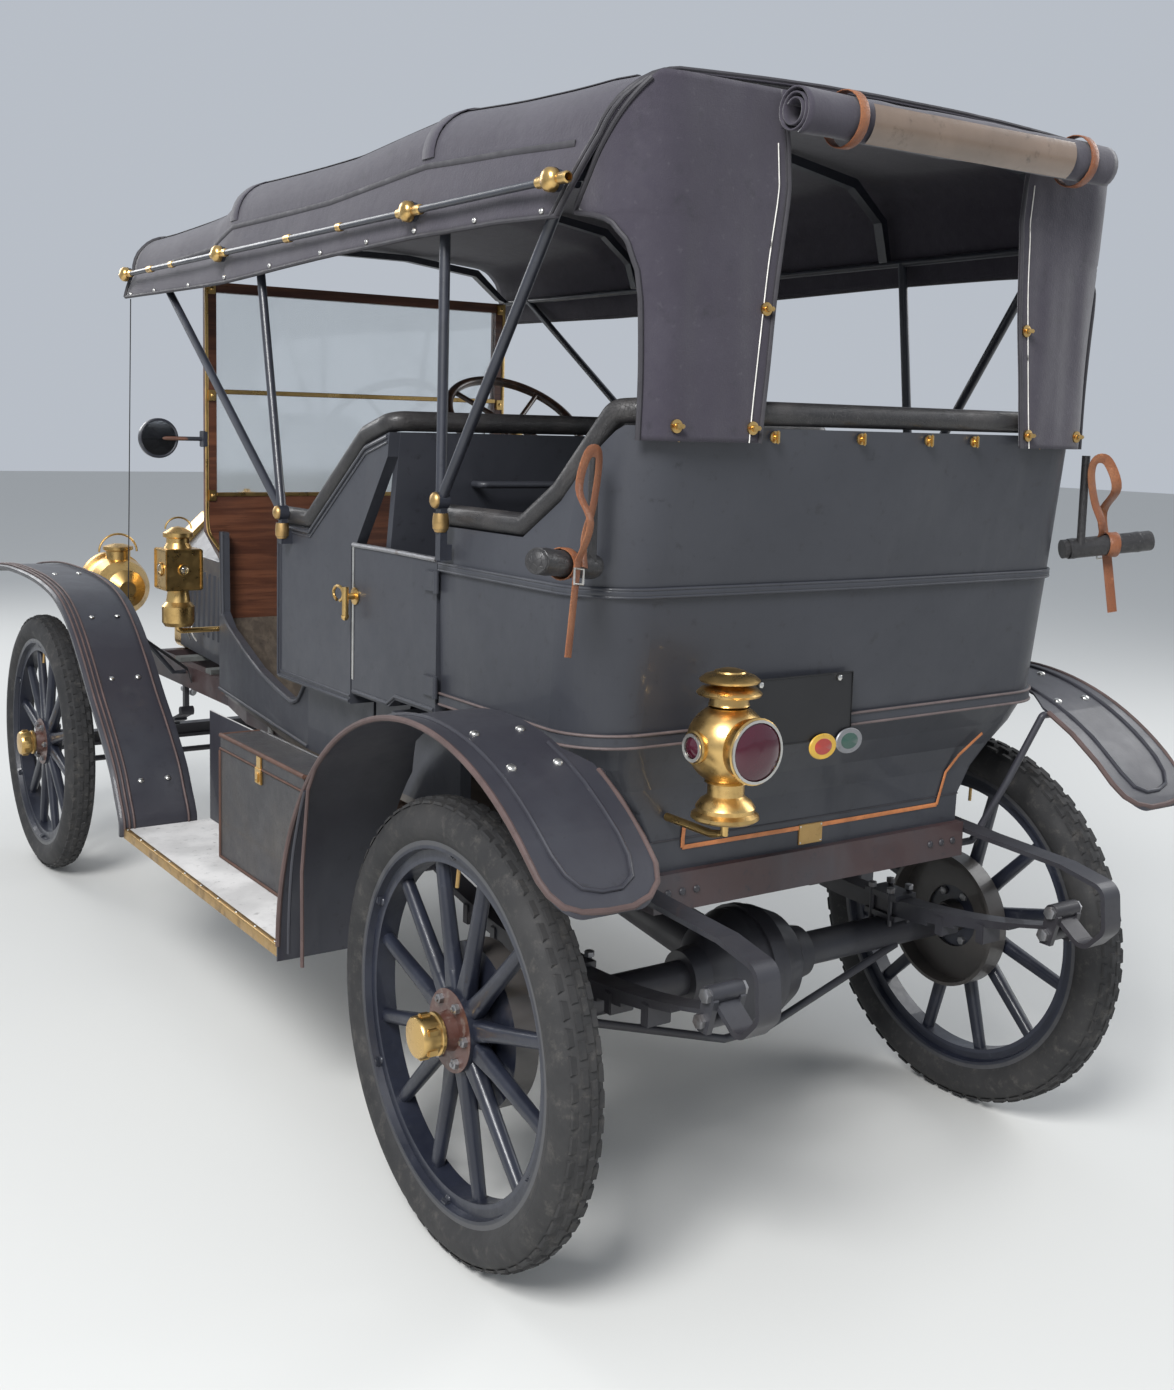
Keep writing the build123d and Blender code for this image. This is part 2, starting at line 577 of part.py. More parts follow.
SEAT_BOX_BACK = 578
SEAT_BOX_FRONT = SEAT_FOOT_Y - 4
SEAT_BOARD_Z = 1000
LOWER_IN = LOWER_X - WALL
SEAT_BOX_X = LOWER_IN - 6
with BuildPart() as front_seat_box:
    add(block(-SEAT_BOX_X, SEAT_BOX_X, SEAT_BOX_BACK, SEAT_BOX_FRONT, BODY_LOW, SEAT_BOARD_Z))
    add(block(-SEAT_BOX_X + 18, SEAT_BOX_X - 18, SEAT_BOX_BACK + 18, SEAT_BOX_FRONT - 18,
              BODY_LOW - 1, SEAT_BOARD_Z - 15), mode=Mode.SUBTRACT)
with BuildPart() as floor_and_box:
    add(floor.part)
    add(front_seat_box.part)
keep(floor_and_box.part, "floor")

# Front seat sides: upper panel proud of the lower one, joined by a lip
LIP_LOW = 985
SEAT_SIDE = ((DOOR_FRONT + 4, LIP_LOW), (1094, LIP_LOW), (1094, 1350), (1070, 1374), (900, 1374),
             (755, 1474), (598, 1582), (478, 1613), (486, 1560), (640, DOOR_TOP),
                 (DOOR_FRONT + 4, DOOR_TOP))
with BuildPart() as left_front_side:
    add(side_plate(-BODY_X, -BODY_X + WALL, SEAT_SIDE))
    add(side_plate(-LOWER_X, -LOWER_IN, ((250, BODY_LOW), (SEAT_FOOT_Y, BODY_LOW), (SEAT_FOOT_Y, LIP_LOW),
                                         (DOOR_FRONT + 4, LIP_LOW), (DOOR_FRONT + 4, 845), (560, 845),
                                         (455, LIP_LOW + 20), (250, LIP_LOW + 20))))
    add(block(-BODY_X, -LOWER_IN, DOOR_FRONT + 4, SEAT_FOOT_Y, LIP_LOW, LIP_LOW + 15))
    add(block(-BODY_X, -LOWER_X + 4, 250, 455, LIP_LOW + 8, LIP_LOW + 20))

# Scuttle sides: from the seat foot in to the dash, cut down in a U for the way in
side_start = Vector(-LOWER_X, SEAT_FOOT_Y + 0.5, 0)
side_end = Vector(-DASH_X - 18, DASH_Y, 0)
side_run = (side_end - side_start).length
side_dir = (side_end - side_start).normalized()
side_plane = Plane(origin=side_start, x_dir=side_dir, z_dir=side_dir.cross(Vector(0, 0, 1)))
with BuildPart() as left_scuttle:
    with BuildSketch(side_plane):
        Polygon((0, BODY_LOW), (side_run, BODY_LOW), (side_run, 1290), (side_run - 46, 1290),
                (side_run - 55, 1050), (side_run - 130, 1010), (465, 938), (178, 905), (70, 920), (0, 985),
                align=None)
    extrude(amount=20)
    add(left_front_side.part)
keep(both_sides(left_scuttle.part), "front_sides")

with BuildPart() as front_seat_back:
    add(side_plate(-BODY_X + WALL, BODY_X - WALL, ((578, SEAT_BOARD_Z), (600, SEAT_BOARD_Z), (498, 1613),
                                                   (476, 1613))))
    for side in SIDES.values():
        add(block(side * SEAT_BOX_X, side * BODY_X, 400, 640, 990, 1034), mode=Mode.SUBTRACT)
    add(rod([(-420, 493, 1500), (-420, 455, 1500), (420, 455, 1500), (420, 493, 1500)], 8, 16))
keep(front_seat_back.part, "front_seat_back")

with BuildPart() as front_seat:
    add(block(-606, 606, 705, 1075, SEAT_BOARD_Z, 1165))
    add(side_plate(-545, 545, ((602, SEAT_BOARD_Z), (700, SEAT_BOARD_Z), (700, 1168), (620, 1560),
                               (509, 1580),
                               (520, 1500))))

# Tonneau: rounded tub with a bead, over a proud lip and a lower body that tucks in to the frame
LOWER_TUB = (  # z, half width, back y, bow of the back, corner radius
    (FRAME_TOP, 424, -224, 3, 5),
    (845, 426, -224, 3, 5),
    (905, 460, -230, 4, 9),
    (955, 510, -242, 6, 22),
    (1005, 572, -268, 10, 62),
    (1054, 614, -298, 16, 112),
)
UPPER_TUB = (
    (LIP_Z, 630, -308, 20, 126),
    (1342, 636, -340, 20, 130),
    (1640, 611, -396, 20, 130),
)
BEAD_Z = 1334
BACK_CURVE_R = 2200


def tub_outline(half, back, bow, corner, front):
    """Plan of the tub as a face: straight sides, rounded corners and a slightly bowed back."""
    with BuildSketch() as outline:
        Polygon((-half, front), (-half, back + bow), (0, back), (half, back + bow), (half, front),
                align=None)
        corners = [vertex for vertex in outline.vertices() if abs(vertex.X) > half - 1]
        fillet([vertex for vertex in corners if vertex.Y < front - 1], corner)
        fillet([vertex for vertex in outline.vertices() if abs(vertex.X) < 1], BACK_CURVE_R)
    return outline.sketch


def tub_loft(sections, front, inset=0):
    """The tub through its sections, drawn in by the inset."""
    with BuildPart() as tub:
        for z, half, back, bow, corner in sections:
            with BuildSketch(Plane.XY.offset(z)):
                add(tub_outline(half - inset, back + inset, bow, corner - inset, front))
        loft(ruled=True)
    return tub.part


def tub_band(z0, z1, half, back, corner, front):
    """A flat band round the tub."""
    with BuildPart() as band:
        with BuildSketch(Plane.XY.offset(z0)):
            add(tub_outline(half, back, 20, corner, front))
        extrude(amount=z1 - z0)
    return band.part


ARM_REST = ((300, ARM_Z), (-60, ARM_Z), (-180, 1500), (-310, 1630), (-340, 1650), (300, 1650))
with BuildPart() as upper_tub:
    add(tub_loft(UPPER_TUB, 500))
    add(tub_band(BEAD_Z, BEAD_Z + 16, 641, -345, 135, 500))
    add(tub_loft(UPPER_TUB, 500, WALL), mode=Mode.SUBTRACT)
    add(block(-700, 700, DOOR_REAR, 600, 1000, 1700), mode=Mode.SUBTRACT)
    add(side_plate(-700, 700, ARM_REST), mode=Mode.SUBTRACT)
with BuildPart() as tonneau:
    add(tub_loft(LOWER_TUB, DOOR_REAR - 2))
    add(tub_band(1053, LIP_Z, 636, -314, 130, DOOR_REAR - 2))
    add(upper_tub.part)
keep(tonneau.part, "tonneau")

with BuildPart() as rear_seat:
    with BuildSketch(Plane.XY.offset(LIP_Z)):
        with Locations((0, -30)):
            RectangleRounded(1180, 460, 150)
    extrude(amount=160)
    add(side_plate(-440, 440, ((-280, 1243), (-165, 1243), (-242, 1590), (-334, 1600))))
with BuildPart() as seats:
    add(front_seat.part)
    add(rear_seat.part)
keep(seats.part, "seats")

# Leather rolls along the tops of the seat sides and backs
ROLL_R = 22
FRONT_ROLL = [(627, 1085, 1397), (627, 907, 1397), (627, 767, 1495), (627, 606, 1606), (627, 487, 1637)]
REAR_ROLL = [(615, 246, ARM_Z + 23), (615, -53, ARM_Z + 23), (609, -166, 1518), (588, -300, 1664),
             (560, -340, 1667), (500, -363, 1667), (300, -374, 1667)]
with BuildPart() as seat_rolls:
    for path in (FRONT_ROLL, REAR_ROLL):
        left_half = [(-x, y, z) for x, y, z in path]
        add(rod(left_half + path[::-1], ROLL_R, 30))
keep(seat_rolls.part, "seat_rolls")

# Doors: proud above, tucked in below, stepped over the wing
with BuildPart() as door_left:
    add(side_plate(-BODY_X, -BODY_X + WALL, ((DOOR_REAR + 5, 1032), (440, 1032), (470, 1012),
                                             (DOOR_FRONT - 4, 1012),
                                            (DOOR_FRONT - 4, DOOR_TOP), (DOOR_REAR + 5, DOOR_TOP))))
    add(side_plate(-LOWER_X, -LOWER_IN, ((470, 1024), (566, 851), (DOOR_FRONT - 10, 851),
                                         (DOOR_FRONT - 10, 1024))))
    add(block(-BODY_X + 1, -LOWER_IN, 470, DOOR_FRONT - 10, 1012, 1026))
    for z in (1090, 1310):
        add(drum((-646, 246, z), (0, 0, 1), 6, 46))
        add(block(-648, -BODY_X + 0.5, 246, 300, z - 20, z + 20))
keep(door_left.part, "door_left")
with BuildPart() as door_right:
    mirror(door_left.part, about=Plane.YZ)
keep(door_right.part, "door_right")

# Dash with a hole for the column, windscreen frame and its two panes
SCREEN_FOOT = 1380
PANE_BAR_Z = 1712
with BuildPart() as dash:
    add(cross_plate(DASH_Y, DASH_Y + DASH_T, ((-DASH_X, FRAME_TOP), (DASH_X, FRAME_TOP), (DASH_X, 1190),
                                              (POST_X, 1290),
                                              (POST_X, SCREEN_FOOT), (-POST_X, SCREEN_FOOT),
                                                  (-POST_X, 1290),
                                              (-DASH_X, 1190))))
    with BuildSketch(Plane(origin=COLUMN_FOOT, z_dir=COLUMN_DIR)):
        Circle(22)
    extrude(amount=900, mode=Mode.SUBTRACT)
    add(bonnet_rest.part)
keep(dash.part, "dash")

PANES = ((SCREEN_FOOT + 24, PANE_BAR_Z - 7), (PANE_BAR_Z + 7, POST_TOP - 30))
with BuildPart() as windscreen:
    add(block(-POST_X, POST_X, DASH_Y, DASH_Y + DASH_T, SCREEN_FOOT, POST_TOP))
    for z0, z1 in PANES:
        add(block(-POST_X + 30, POST_X - 30, DASH_Y - 1, DASH_Y + DASH_T + 1, z0, z1), mode=Mode.SUBTRACT)
    add(drum((-650, 1985, 1569), (0, 1, 0), 58, 14))
    add(rod([(-650, 1985, 1569), (-560, 1960, 1569), (-POST_X, 1960, 1569)], 6))
keep(windscreen.part, "windscreen")
with BuildPart() as glass:
    for z0, z1 in PANES:
        add(block(-POST_X + 30, POST_X - 30, DASH_Y + 13, DASH_Y + 18, z0, z1))
keep(glass.part, "windscreen_glass")

# Wings, with the irons that carry them
IRON_R = 8


def wing_z(y, radius):
    """Height of the rear wing's arc at a station."""
    return BOARD_Z - 2 + sqrt(radius ** 2 - (y - WING_Y) ** 2)


WING_PLAN = ((-WING_OUT, 620), (-WING_OUT, WING_TAIL), (-612, WING_TAIL), (-612, -290),
             (-LIP_WING_IN, -235),
             (-LIP_WING_IN, 330), (-WING_IN, 430), (-WING_IN, 620))
SKIRT_EDGE = ((454, BOARD_Z), (454, 517), (458, 670), (439, 784), (427, 859), (381, 925), (316, 976),
              (237, 1023),
              (176, 1046))
WING_IRON = -300
with BuildPart() as wing_shell:
    with BuildSketch(Plane(origin=(-WING_OUT, WING_Y, BOARD_Z - 2), x_dir=(0, 1, 0), z_dir=(1, 0, 0))):
        with BuildLine():
            inner = CenterArc((0, 0), WING_R - WING_T, 0, 145)
            outer = CenterArc((0, 0), WING_R, 0, 145)
            Line(inner @ 1, outer @ 1)
            Polyline(inner @ 0, (WING_R - WING_T, 2 - BOARD_T), (WING_R, 2 - BOARD_T), outer @ 0)
        make_face()
    extrude(amount=WING_OUT - WING_IN)
    with BuildSketch(Plane.XY.offset(400)) as plan:
        Polygon(*WING_PLAN, align=None)
        fillet(plan.vertices().group_by(Axis.Y)[0], 66)
    extrude(amount=800, mode=Mode.INTERSECT)
with BuildPart() as wing_skirt:
    with BuildSketch(Plane(origin=(-WING_OUT, 0, 0), x_dir=(0, 1, 0), z_dir=(1, 0, 0))):
        with BuildLine():
            Polyline(*SKIRT_EDGE)
            rim = CenterArc((WING_Y, BOARD_Z - 2), WING_R - 1, 0, 69.5)
            Line(SKIRT_EDGE[-1], rim @ 1)
            Polyline(rim @ 0, (rim @ 0) + Vector(0, 2, 0), SKIRT_EDGE[0])
        make_face()
    extrude(amount=4)
with BuildPart() as rear_wing:
    add(wing_shell.part)
    add(wing_skirt.part)
    iron_z = wing_z(WING_IRON, WING_R - WING_T) - IRON_R + 2
    add(rod([(-RAIL_REAR_X, -205, 722), (-500, -205, 722), (-545, -255, 860), (-600, WING_IRON, iron_z),
             (-820, WING_IRON, iron_z)], IRON_R, 8))
keep(both_sides(rear_wing.part), "rear_wings")

FRONT_WING = ((BOARD_FRONT + WING_T, BOARD_Z - BOARD_T), (BOARD_FRONT + WING_T, 485), (1829, 613),
              (2022, 786), (2227, 965),
              (2429, 1056), (2701, 1090), (3045, 1092), (3400, 1060), (3490, 1030))
with BuildPart() as front_wing:
    add(bent_strip(-WING_OUT, -620, FRONT_WING, 40, WING_T))
    for y, under in ((2560, 1072), (3300, 1069)):
        add(rod([(-RAIL_FRONT_X, y, 760), (-414, y, 760), (-616, y, under - 66),
                 (-660, y, under - IRON_R + 2),
                 (-830, y, under - IRON_R + 2)], IRON_R, 16))
keep(both_sides(front_wing.part), "front_wings")

with BuildPart() as left_board:
    add(block(-BOARD_OUT, -BOARD_IN, BOARD_REAR, BOARD_FRONT, BOARD_Z - BOARD_T, BOARD_Z))
    for y in (700, 1160, 1640):
        add(rod([(-RAIL_REAR_X - IRON_R, y, 768), (-RAIL_REAR_X - IRON_R, y, 600),
                 (-500, y, BOARD_Z - BOARD_T - 6), (-820, y, BOARD_Z - BOARD_T - 6)], IRON_R, 16))
    add(block(-BOARD_IN - 4, -BOARD_IN, BOARD_REAR, BOARD_FRONT, BOARD_Z, FRAME_TOP))
keep(both_sides(left_board.part), "running_boards")

TOOLBOX = (-700, -586, 790, 1340)
LID_Z = 752
with BuildPart() as toolbox:
    add(block(*TOOLBOX, BOARD_Z, LID_Z))
    add(block(TOOLBOX[0] + 10, TOOLBOX[1] - 10, TOOLBOX[2] + 10, TOOLBOX[3] - 10, BOARD_Z + 10, LID_Z + 1),
        mode=Mode.SUBTRACT)
keep(toolbox.part, "toolbox")
with BuildPart() as toolbox_lid:
    add(block(*TOOLBOX, LID_Z + 1, 795))
    add(drum((-590, 1065, 795), (0, 1, 0), 5, 520))
    add(block(TOOLBOX[0] + 10, TOOLBOX[1] - 10, TOOLBOX[2] + 10, TOOLBOX[3] - 10, LID_Z, 785),
        mode=Mode.SUBTRACT)
keep(toolbox_lid.part, "toolbox_lid")

# Folding top: a cloth shell over bows, open below, its rear arch leaning back as it rises
TOP_STATIONS = (  # y, half width at the valance, valance z, half width and z of the shoulder, crown z
    (2200, 676, 1992, 648, 2178, 2202),
    (1525, 676, 1984, 648, 2200, 2256),
    (1365, 676, 1984, 648, 2248, 2285),
    (771, 677, 2000, 648, 2247, 2294),
    (299, 678, 2006, 648, 2270, 2312),
    (-35, 676, 2004, 646, 2254, 2290),
    (-260, 668, 1997, 645, 2240, 2262),
    (-430, 655, 1992, 643, 2228, 2243),
)
SHOULDER_R = 108
CROWN_FLAT = 280
ARCH_LEAN = 0.773


def top_loft(inset):
    """The outside of the top, or its inside where inset is the cloth's thickness."""
    with BuildPart() as shell:
        for y, half, low, shoulder, shoulder_z, crown in TOP_STATIONS:
            with BuildSketch(Plane(origin=(0, y, 0), x_dir=(1, 0, 0), z_dir=(0, -1, 0))) as section:
                left = ((inset - half, low - inset), (inset - shoulder, shoulder_z - inset),
                        (-CROWN_FLAT, crown - inset))
                Polygon(*left, *[(-x, z) for x, z in reversed(left)], align=None)
                edge = shoulder - inset
                corners = [vertex for vertex in section.vertices() if abs(abs(vertex.X) - edge) < 1]
                fillet(corners, SHOULDER_R - inset)
        loft(ruled=True)
    return shell.part


def top_size(y):
    """Shoulder and crown heights of the top at a station."""
    for (y0, *_, side0, crown0), (y1, *_, side1, crown1) in zip(TOP_STATIONS, TOP_STATIONS[1:]):
        if y1 <= y <= y0:
            part_way = (y0 - y) / (y0 - y1)
            return side0 + (side1 - side0) * part_way, crown0 + (crown1 - crown0) * part_way


def arch_y(z):
    """The leaning plane of the rear arch seam."""
    return -262 - ARCH_LEAN * (z - ROD_Z)


with BuildPart() as canopy:
    add(top_loft(0))
    add(top_loft(CLOTH), mode=Mode.SUBTRACT)
    add(side_plate(-720, 720, ((arch_y(1950), 1950), (arch_y(2350), 2350), (-700, 2350), (-700, 1950))),
        mode=Mode.SUBTRACT)
keep(canopy.part, "canopy")

# Rear quarters: cloth that hangs round the corners from the arch to the rail of the tub
QUARTER_SECTIONS = (  # z, half width, back y, bow, corner radius
    (1612, 629, -416, 20, 140),
    (2255, 643, -411, 3, 108),
)
QUARTER_T = 6
QUARTER_SIDE = ((-359, 1600), (-361, 1734), (-363, 1852), (-361, 1901), (-350, 1959), (-322, 1993),
                (-264, 2004),
                (arch_y(2004) - 1, 2004), (arch_y(2236) - 1, 2236), (-560, 2236), (-560, 1600))
QUARTER_BACK = ((349, 1600), (305, 2062), (345, 2160), (345, 2300), (800, 2300), (800, 1600))
with BuildPart() as quarters:
    add(tub_loft(QUARTER_SECTIONS, 300))
    add(tub_loft(QUARTER_SECTIONS, 310, QUARTER_T), mode=Mode.SUBTRACT)
    add(side_plate(-720, 720, QUARTER_SIDE), mode=Mode.INTERSECT)
with BuildPart() as right_quarter:
    add(cross_plate(-700, 300, QUARTER_BACK))
    add(quarters.part, mode=Mode.INTERSECT)
with BuildPart() as rear_top:
    add(cross_plate(-700, 300, ((-400, 2160), (400, 2160), (400, 2236), (-400, 2236))))
    add(quarters.part, mode=Mode.INTERSECT)
with BuildPart() as rear_quarters:
    add(both_sides(right_quarter.part))
    add(rear_top.part)
keep(rear_quarters.part, "rear_quarters")

CURTAIN_R = 45
with BuildPart() as curtain:
    add(drum((60, -410 - CURTAIN_R - 8, 2182), (1, 0, 0), CURTAIN_R, 830, CURTAIN_R - 20))
keep(curtain.part, "rear_curtain")

# Bows and irons that carry the top, standing on sockets at the body's sides
BOWS = (2142, 1365, 299, -234)
IRON_X = 640
FOOT_X = 663
REAR_SOCKET = (200, 1481)
FRONT_SOCKET = (1012, 1407)


def bow(y):
    """A flat wooden bow under the cloth, from one inner rod over to the other."""
    shoulder_z, crown = top_size(y)
    outside = ((-647, ROD_Z + 2), (-624, shoulder_z - 108), (-520, shoulder_z - 20), (-250, crown - 18))
    inside = ((-633, ROD_Z + 2), (-606, shoulder_z - 116), (-510, shoulder_z - 42), (-248, crown - 38))
    over = list(outside) + [(-x, z) for x, z in reversed(outside)]
    under = list(inside) + [(-x, z) for x, z in reversed(inside)]
    return cross_plate(y - 14, y + 14, over + under[::-1])


def fitted(parts):
    """Solids that meet end to end: each is cut back where an earlier one stands."""
    solids = []
    for part in parts:
        for earlier in solids:
            part = part - earlier
        solids += part.solids()
    return solids


LEGS = (  # foot, y of its top on the inner rod
    (REAR_SOCKET, 240),
    (REAR_SOCKET, -200),
    (FRONT_SOCKET, 1220),
    (FRONT_SOCKET, 1990),
)
with BuildPart() as left_sockets:
    for y, z in (REAR_SOCKET, FRONT_SOCKET):
        add(drum((-FOOT_X, y, z), (1, 0, 0), 18, 24))
        add(drum((-FOOT_X, y, z - 42), (0, 0, 1), 15, 34))
    add(block(-FOOT_X - 6, -FOOT_X + 10, 190, 210, 1360, 1481))
    add(block(-FOOT_X - 6, -642, 190, 210, 1360, 1392))
    add(block(-FOOT_X - 6, -FOOT_X + 10, 1002, 1022, 1330, 1407))
    add(block(-FOOT_X - 6, -BODY_X, 1002, 1022, 1330, 1362))
left_rod = rod([(-IRON_X, BOWS[-1], ROD_Z), (-IRON_X, BOWS[0], ROD_Z)], 9)
left_legs = [rod([(-FOOT_X, *foot), (-IRON_X, top_y, ROD_Z)], 11) for foot, top_y in LEGS]
left_irons = fitted([left_rod, left_sockets.part, *left_legs])
right_irons = [iron.mirror(Plane.YZ) for iron in left_irons]
bows = [solid for y in BOWS for solid in (bow(y) - left_rod - left_rod.mirror(Plane.YZ)).solids()]
with BuildPart() as left_outer_rod:
    add(rod([(-OUTER_ROD_X, BOWS[-1] - 20, ROD_Z), (-OUTER_ROD_X, BOWS[0] + 20, ROD_Z)], 7))
    for y in BOWS:
        add(drum((-OUTER_ROD_X - 2, y, ROD_Z), (1, 0, 0), 19, 22))
        add(drum((-OUTER_ROD_X + 5, y, ROD_Z), (1, 0, 0), 8, 18))
outer_rods = both_sides(left_outer_rod.part).solids()
keep(Compound([*left_irons, *right_irons, *bows, *outer_rods]), "top_irons")

# Lamps
LAMP_Y = -405



def turned(centre, axis, profile):
    """A turned piece from (radius, reach along the axis) points that start and end on the axis."""
    with BuildPart() as piece:
        plane = Plane(origin=centre, z_dir=axis)
        with BuildSketch(Plane(origin=centre, x_dir=plane.x_dir, z_dir=-plane.y_dir)):
            Polygon(*profile, align=None)
        revolve(axis=Axis(centre, axis))
    return piece.part


TAIL_X = -397
with BuildPart() as tail_lamp:
    add(turned((TAIL_X, LAMP_Y + 55, 1072), (0, -1, 0),
               ((0, 0), (48, 0), (62, 16), (62, 96), (70, 98), (70, 112), (52, 116), (0, 118))))
    add(turned((TAIL_X - 56, LAMP_Y, 1072), (-1, 0, 0), ((0, 0), (34, 0), (34, 16), (27, 20), (0, 22))))
    add(turned((TAIL_X, LAMP_Y, 932), (0, 0, 1),
               ((0, 0), (54, 0), (56, 8), (52, 34), (40, 40), (36, 58), (24, 66), (24, 100), (0, 100))))
    add(turned((TAIL_X, LAMP_Y, 1120), (0, 0, 1),
               ((0, 0), (38, 0), (38, 28), (48, 32), (30, 50), (30, 58), (46, 62), (46, 74), (22, 84),
                (0, 91))))
    add(rod([(TAIL_X + 12, LAMP_Y, 940), (TAIL_X + 12, LAMP_Y, 900), (TAIL_X + 12, -232, 900)], 8, 12))
keep(tail_lamp.part, "tail_lamp")

with BuildPart() as left_side_lamp:
    add(block(-655, -549, 1900, 2002, 1120, 1240))
    add(turned((-602, 2000, 1180), (0, 1, 0), ((0, 0), (50, 0), (50, 4), (44, 6), (0, 6))))
    add(turned((-602, 1955, 1006), (0, 0, 1),
               ((0, 0), (40, 0), (48, 12), (48, 60), (36, 74), (30, 116), (0, 116))))
    add(turned((-602, 1955, 1238), (0, 0, 1),
               ((0, 0), (44, 0), (34, 20), (34, 34), (44, 38), (44, 50), (18, 66), (0, 70))))
    add(rod([(-602, 1955, 1030), (-602, 1955, 990), (-DASH_X, 1955, 990)], 8, 12))

with BuildPart() as left_headlamp:
    add(turned((-430, 3004, 1000), (0, 1, 0),
               ((0, 0), (30, 0), (70, 20), (100, 62), (113, 110), (113, 176), (124, 180), (124, 196),
                (0, 196))))
    add(turned((-430, 3120, 1100), (0, 0, 1), ((0, 0), (44, 0), (44, 34), (54, 38), (54, 50), (20, 60),
                                               (0, 60))))
    add(rod([(-430, 3100, 900), (-430, 3100, 860), (-RAIL_FRONT_X - 12, 3100, 810),
             (-RAIL_FRONT_X - 12, 3100, 720)],
            12, 16))
with BuildPart() as front_lamps:
    add(both_sides(left_side_lamp.part))
    add(both_sides(left_headlamp.part))
keep(front_lamps.part, "front_lamps")

with BuildPart() as number_plate:
    add(block(-305, -20, -331, -328, 1035, 1168))
    add(block(-200, -120, -328, -311.5, 1058, 1070))
keep(number_plate.part, "number_plate")

# Top rests, hold-down straps, mirror, robe rail, silencer and levers
with BuildPart() as left_rest:
    add(rod([(-630, -300, 1392), (-810, -397, 1415)], 21))
    add(rod([(-655, -330, 1395), (-655, -330, 1600)], 9))
keep(both_sides(left_rest.part), "top_rests")

with BuildPart() as left_strap:
    add(rod([(-664, BOWS[0] + 48, ROD_Z - 70), (-605, 2440, 940), (-RAIL_FRONT_X - 5, 2490, 770),
             (-RAIL_FRONT_X - 5, 2490, 730)], 5))
keep(both_sides(left_strap.part), "top_straps")

with BuildPart() as exhaust:
    add(rod([(-250, 2300, 640), (-250, 1500, 600), (-250, 900, 600)], 22, 40))
    add(drum((-250, 900, 600), (0, 1, 0), 75, 560))
    add(block(-256, -244, 720, 744, 600, FRAME_LOW))
keep(exhaust.part, "exhaust")

with BuildPart() as levers:
    for x, top in ((602, 1400), (626, 1340)):
        add(rod([(x, 1450, 700), (x, 1500, 1100), (x, 1440, top)], 9, 60))
    add(side_plate(BOARD_IN + 4, BOARD_IN + 10, ((1400, 660), (1510, 660), (1560, 770), (1400, 770))))
    add(drum((BOARD_IN + 31, 1450, 700), (1, 0, 0), 16, 50))
keep(levers.part, "levers")
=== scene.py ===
from math import cos, pi, radians, sin, sqrt

import bmesh
import bpy
from mathutils import Matrix, Vector
from mathutils.noise import noise


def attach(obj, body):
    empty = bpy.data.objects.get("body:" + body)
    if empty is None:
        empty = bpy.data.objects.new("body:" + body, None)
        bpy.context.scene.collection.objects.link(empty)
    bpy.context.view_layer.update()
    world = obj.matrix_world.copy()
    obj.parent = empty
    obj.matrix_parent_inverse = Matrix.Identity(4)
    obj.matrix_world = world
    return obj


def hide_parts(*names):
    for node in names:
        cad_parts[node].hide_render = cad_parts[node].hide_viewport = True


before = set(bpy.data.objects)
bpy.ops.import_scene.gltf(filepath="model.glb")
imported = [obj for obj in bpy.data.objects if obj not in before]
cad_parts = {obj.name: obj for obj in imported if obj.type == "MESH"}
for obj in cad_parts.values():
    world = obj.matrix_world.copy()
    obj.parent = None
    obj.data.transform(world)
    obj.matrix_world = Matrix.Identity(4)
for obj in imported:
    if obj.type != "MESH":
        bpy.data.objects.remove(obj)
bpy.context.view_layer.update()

# Where the rear axle stands in the frame, in metres with +Y forward
REAR_AXLE_Y = -1.5125

# Millimetres ahead of the rear axle, from the middle plane and above the ground
WHEELBASE = 3047
TRACK_X = 711
AXLE_Z = 457

SIDES = (("left", -1), ("right", 1))
CORNERS = (("front_left", -1, WHEELBASE), ("front_right", 1, WHEELBASE),
           ("rear_left", -1, 0), ("rear_right", 1, 0))


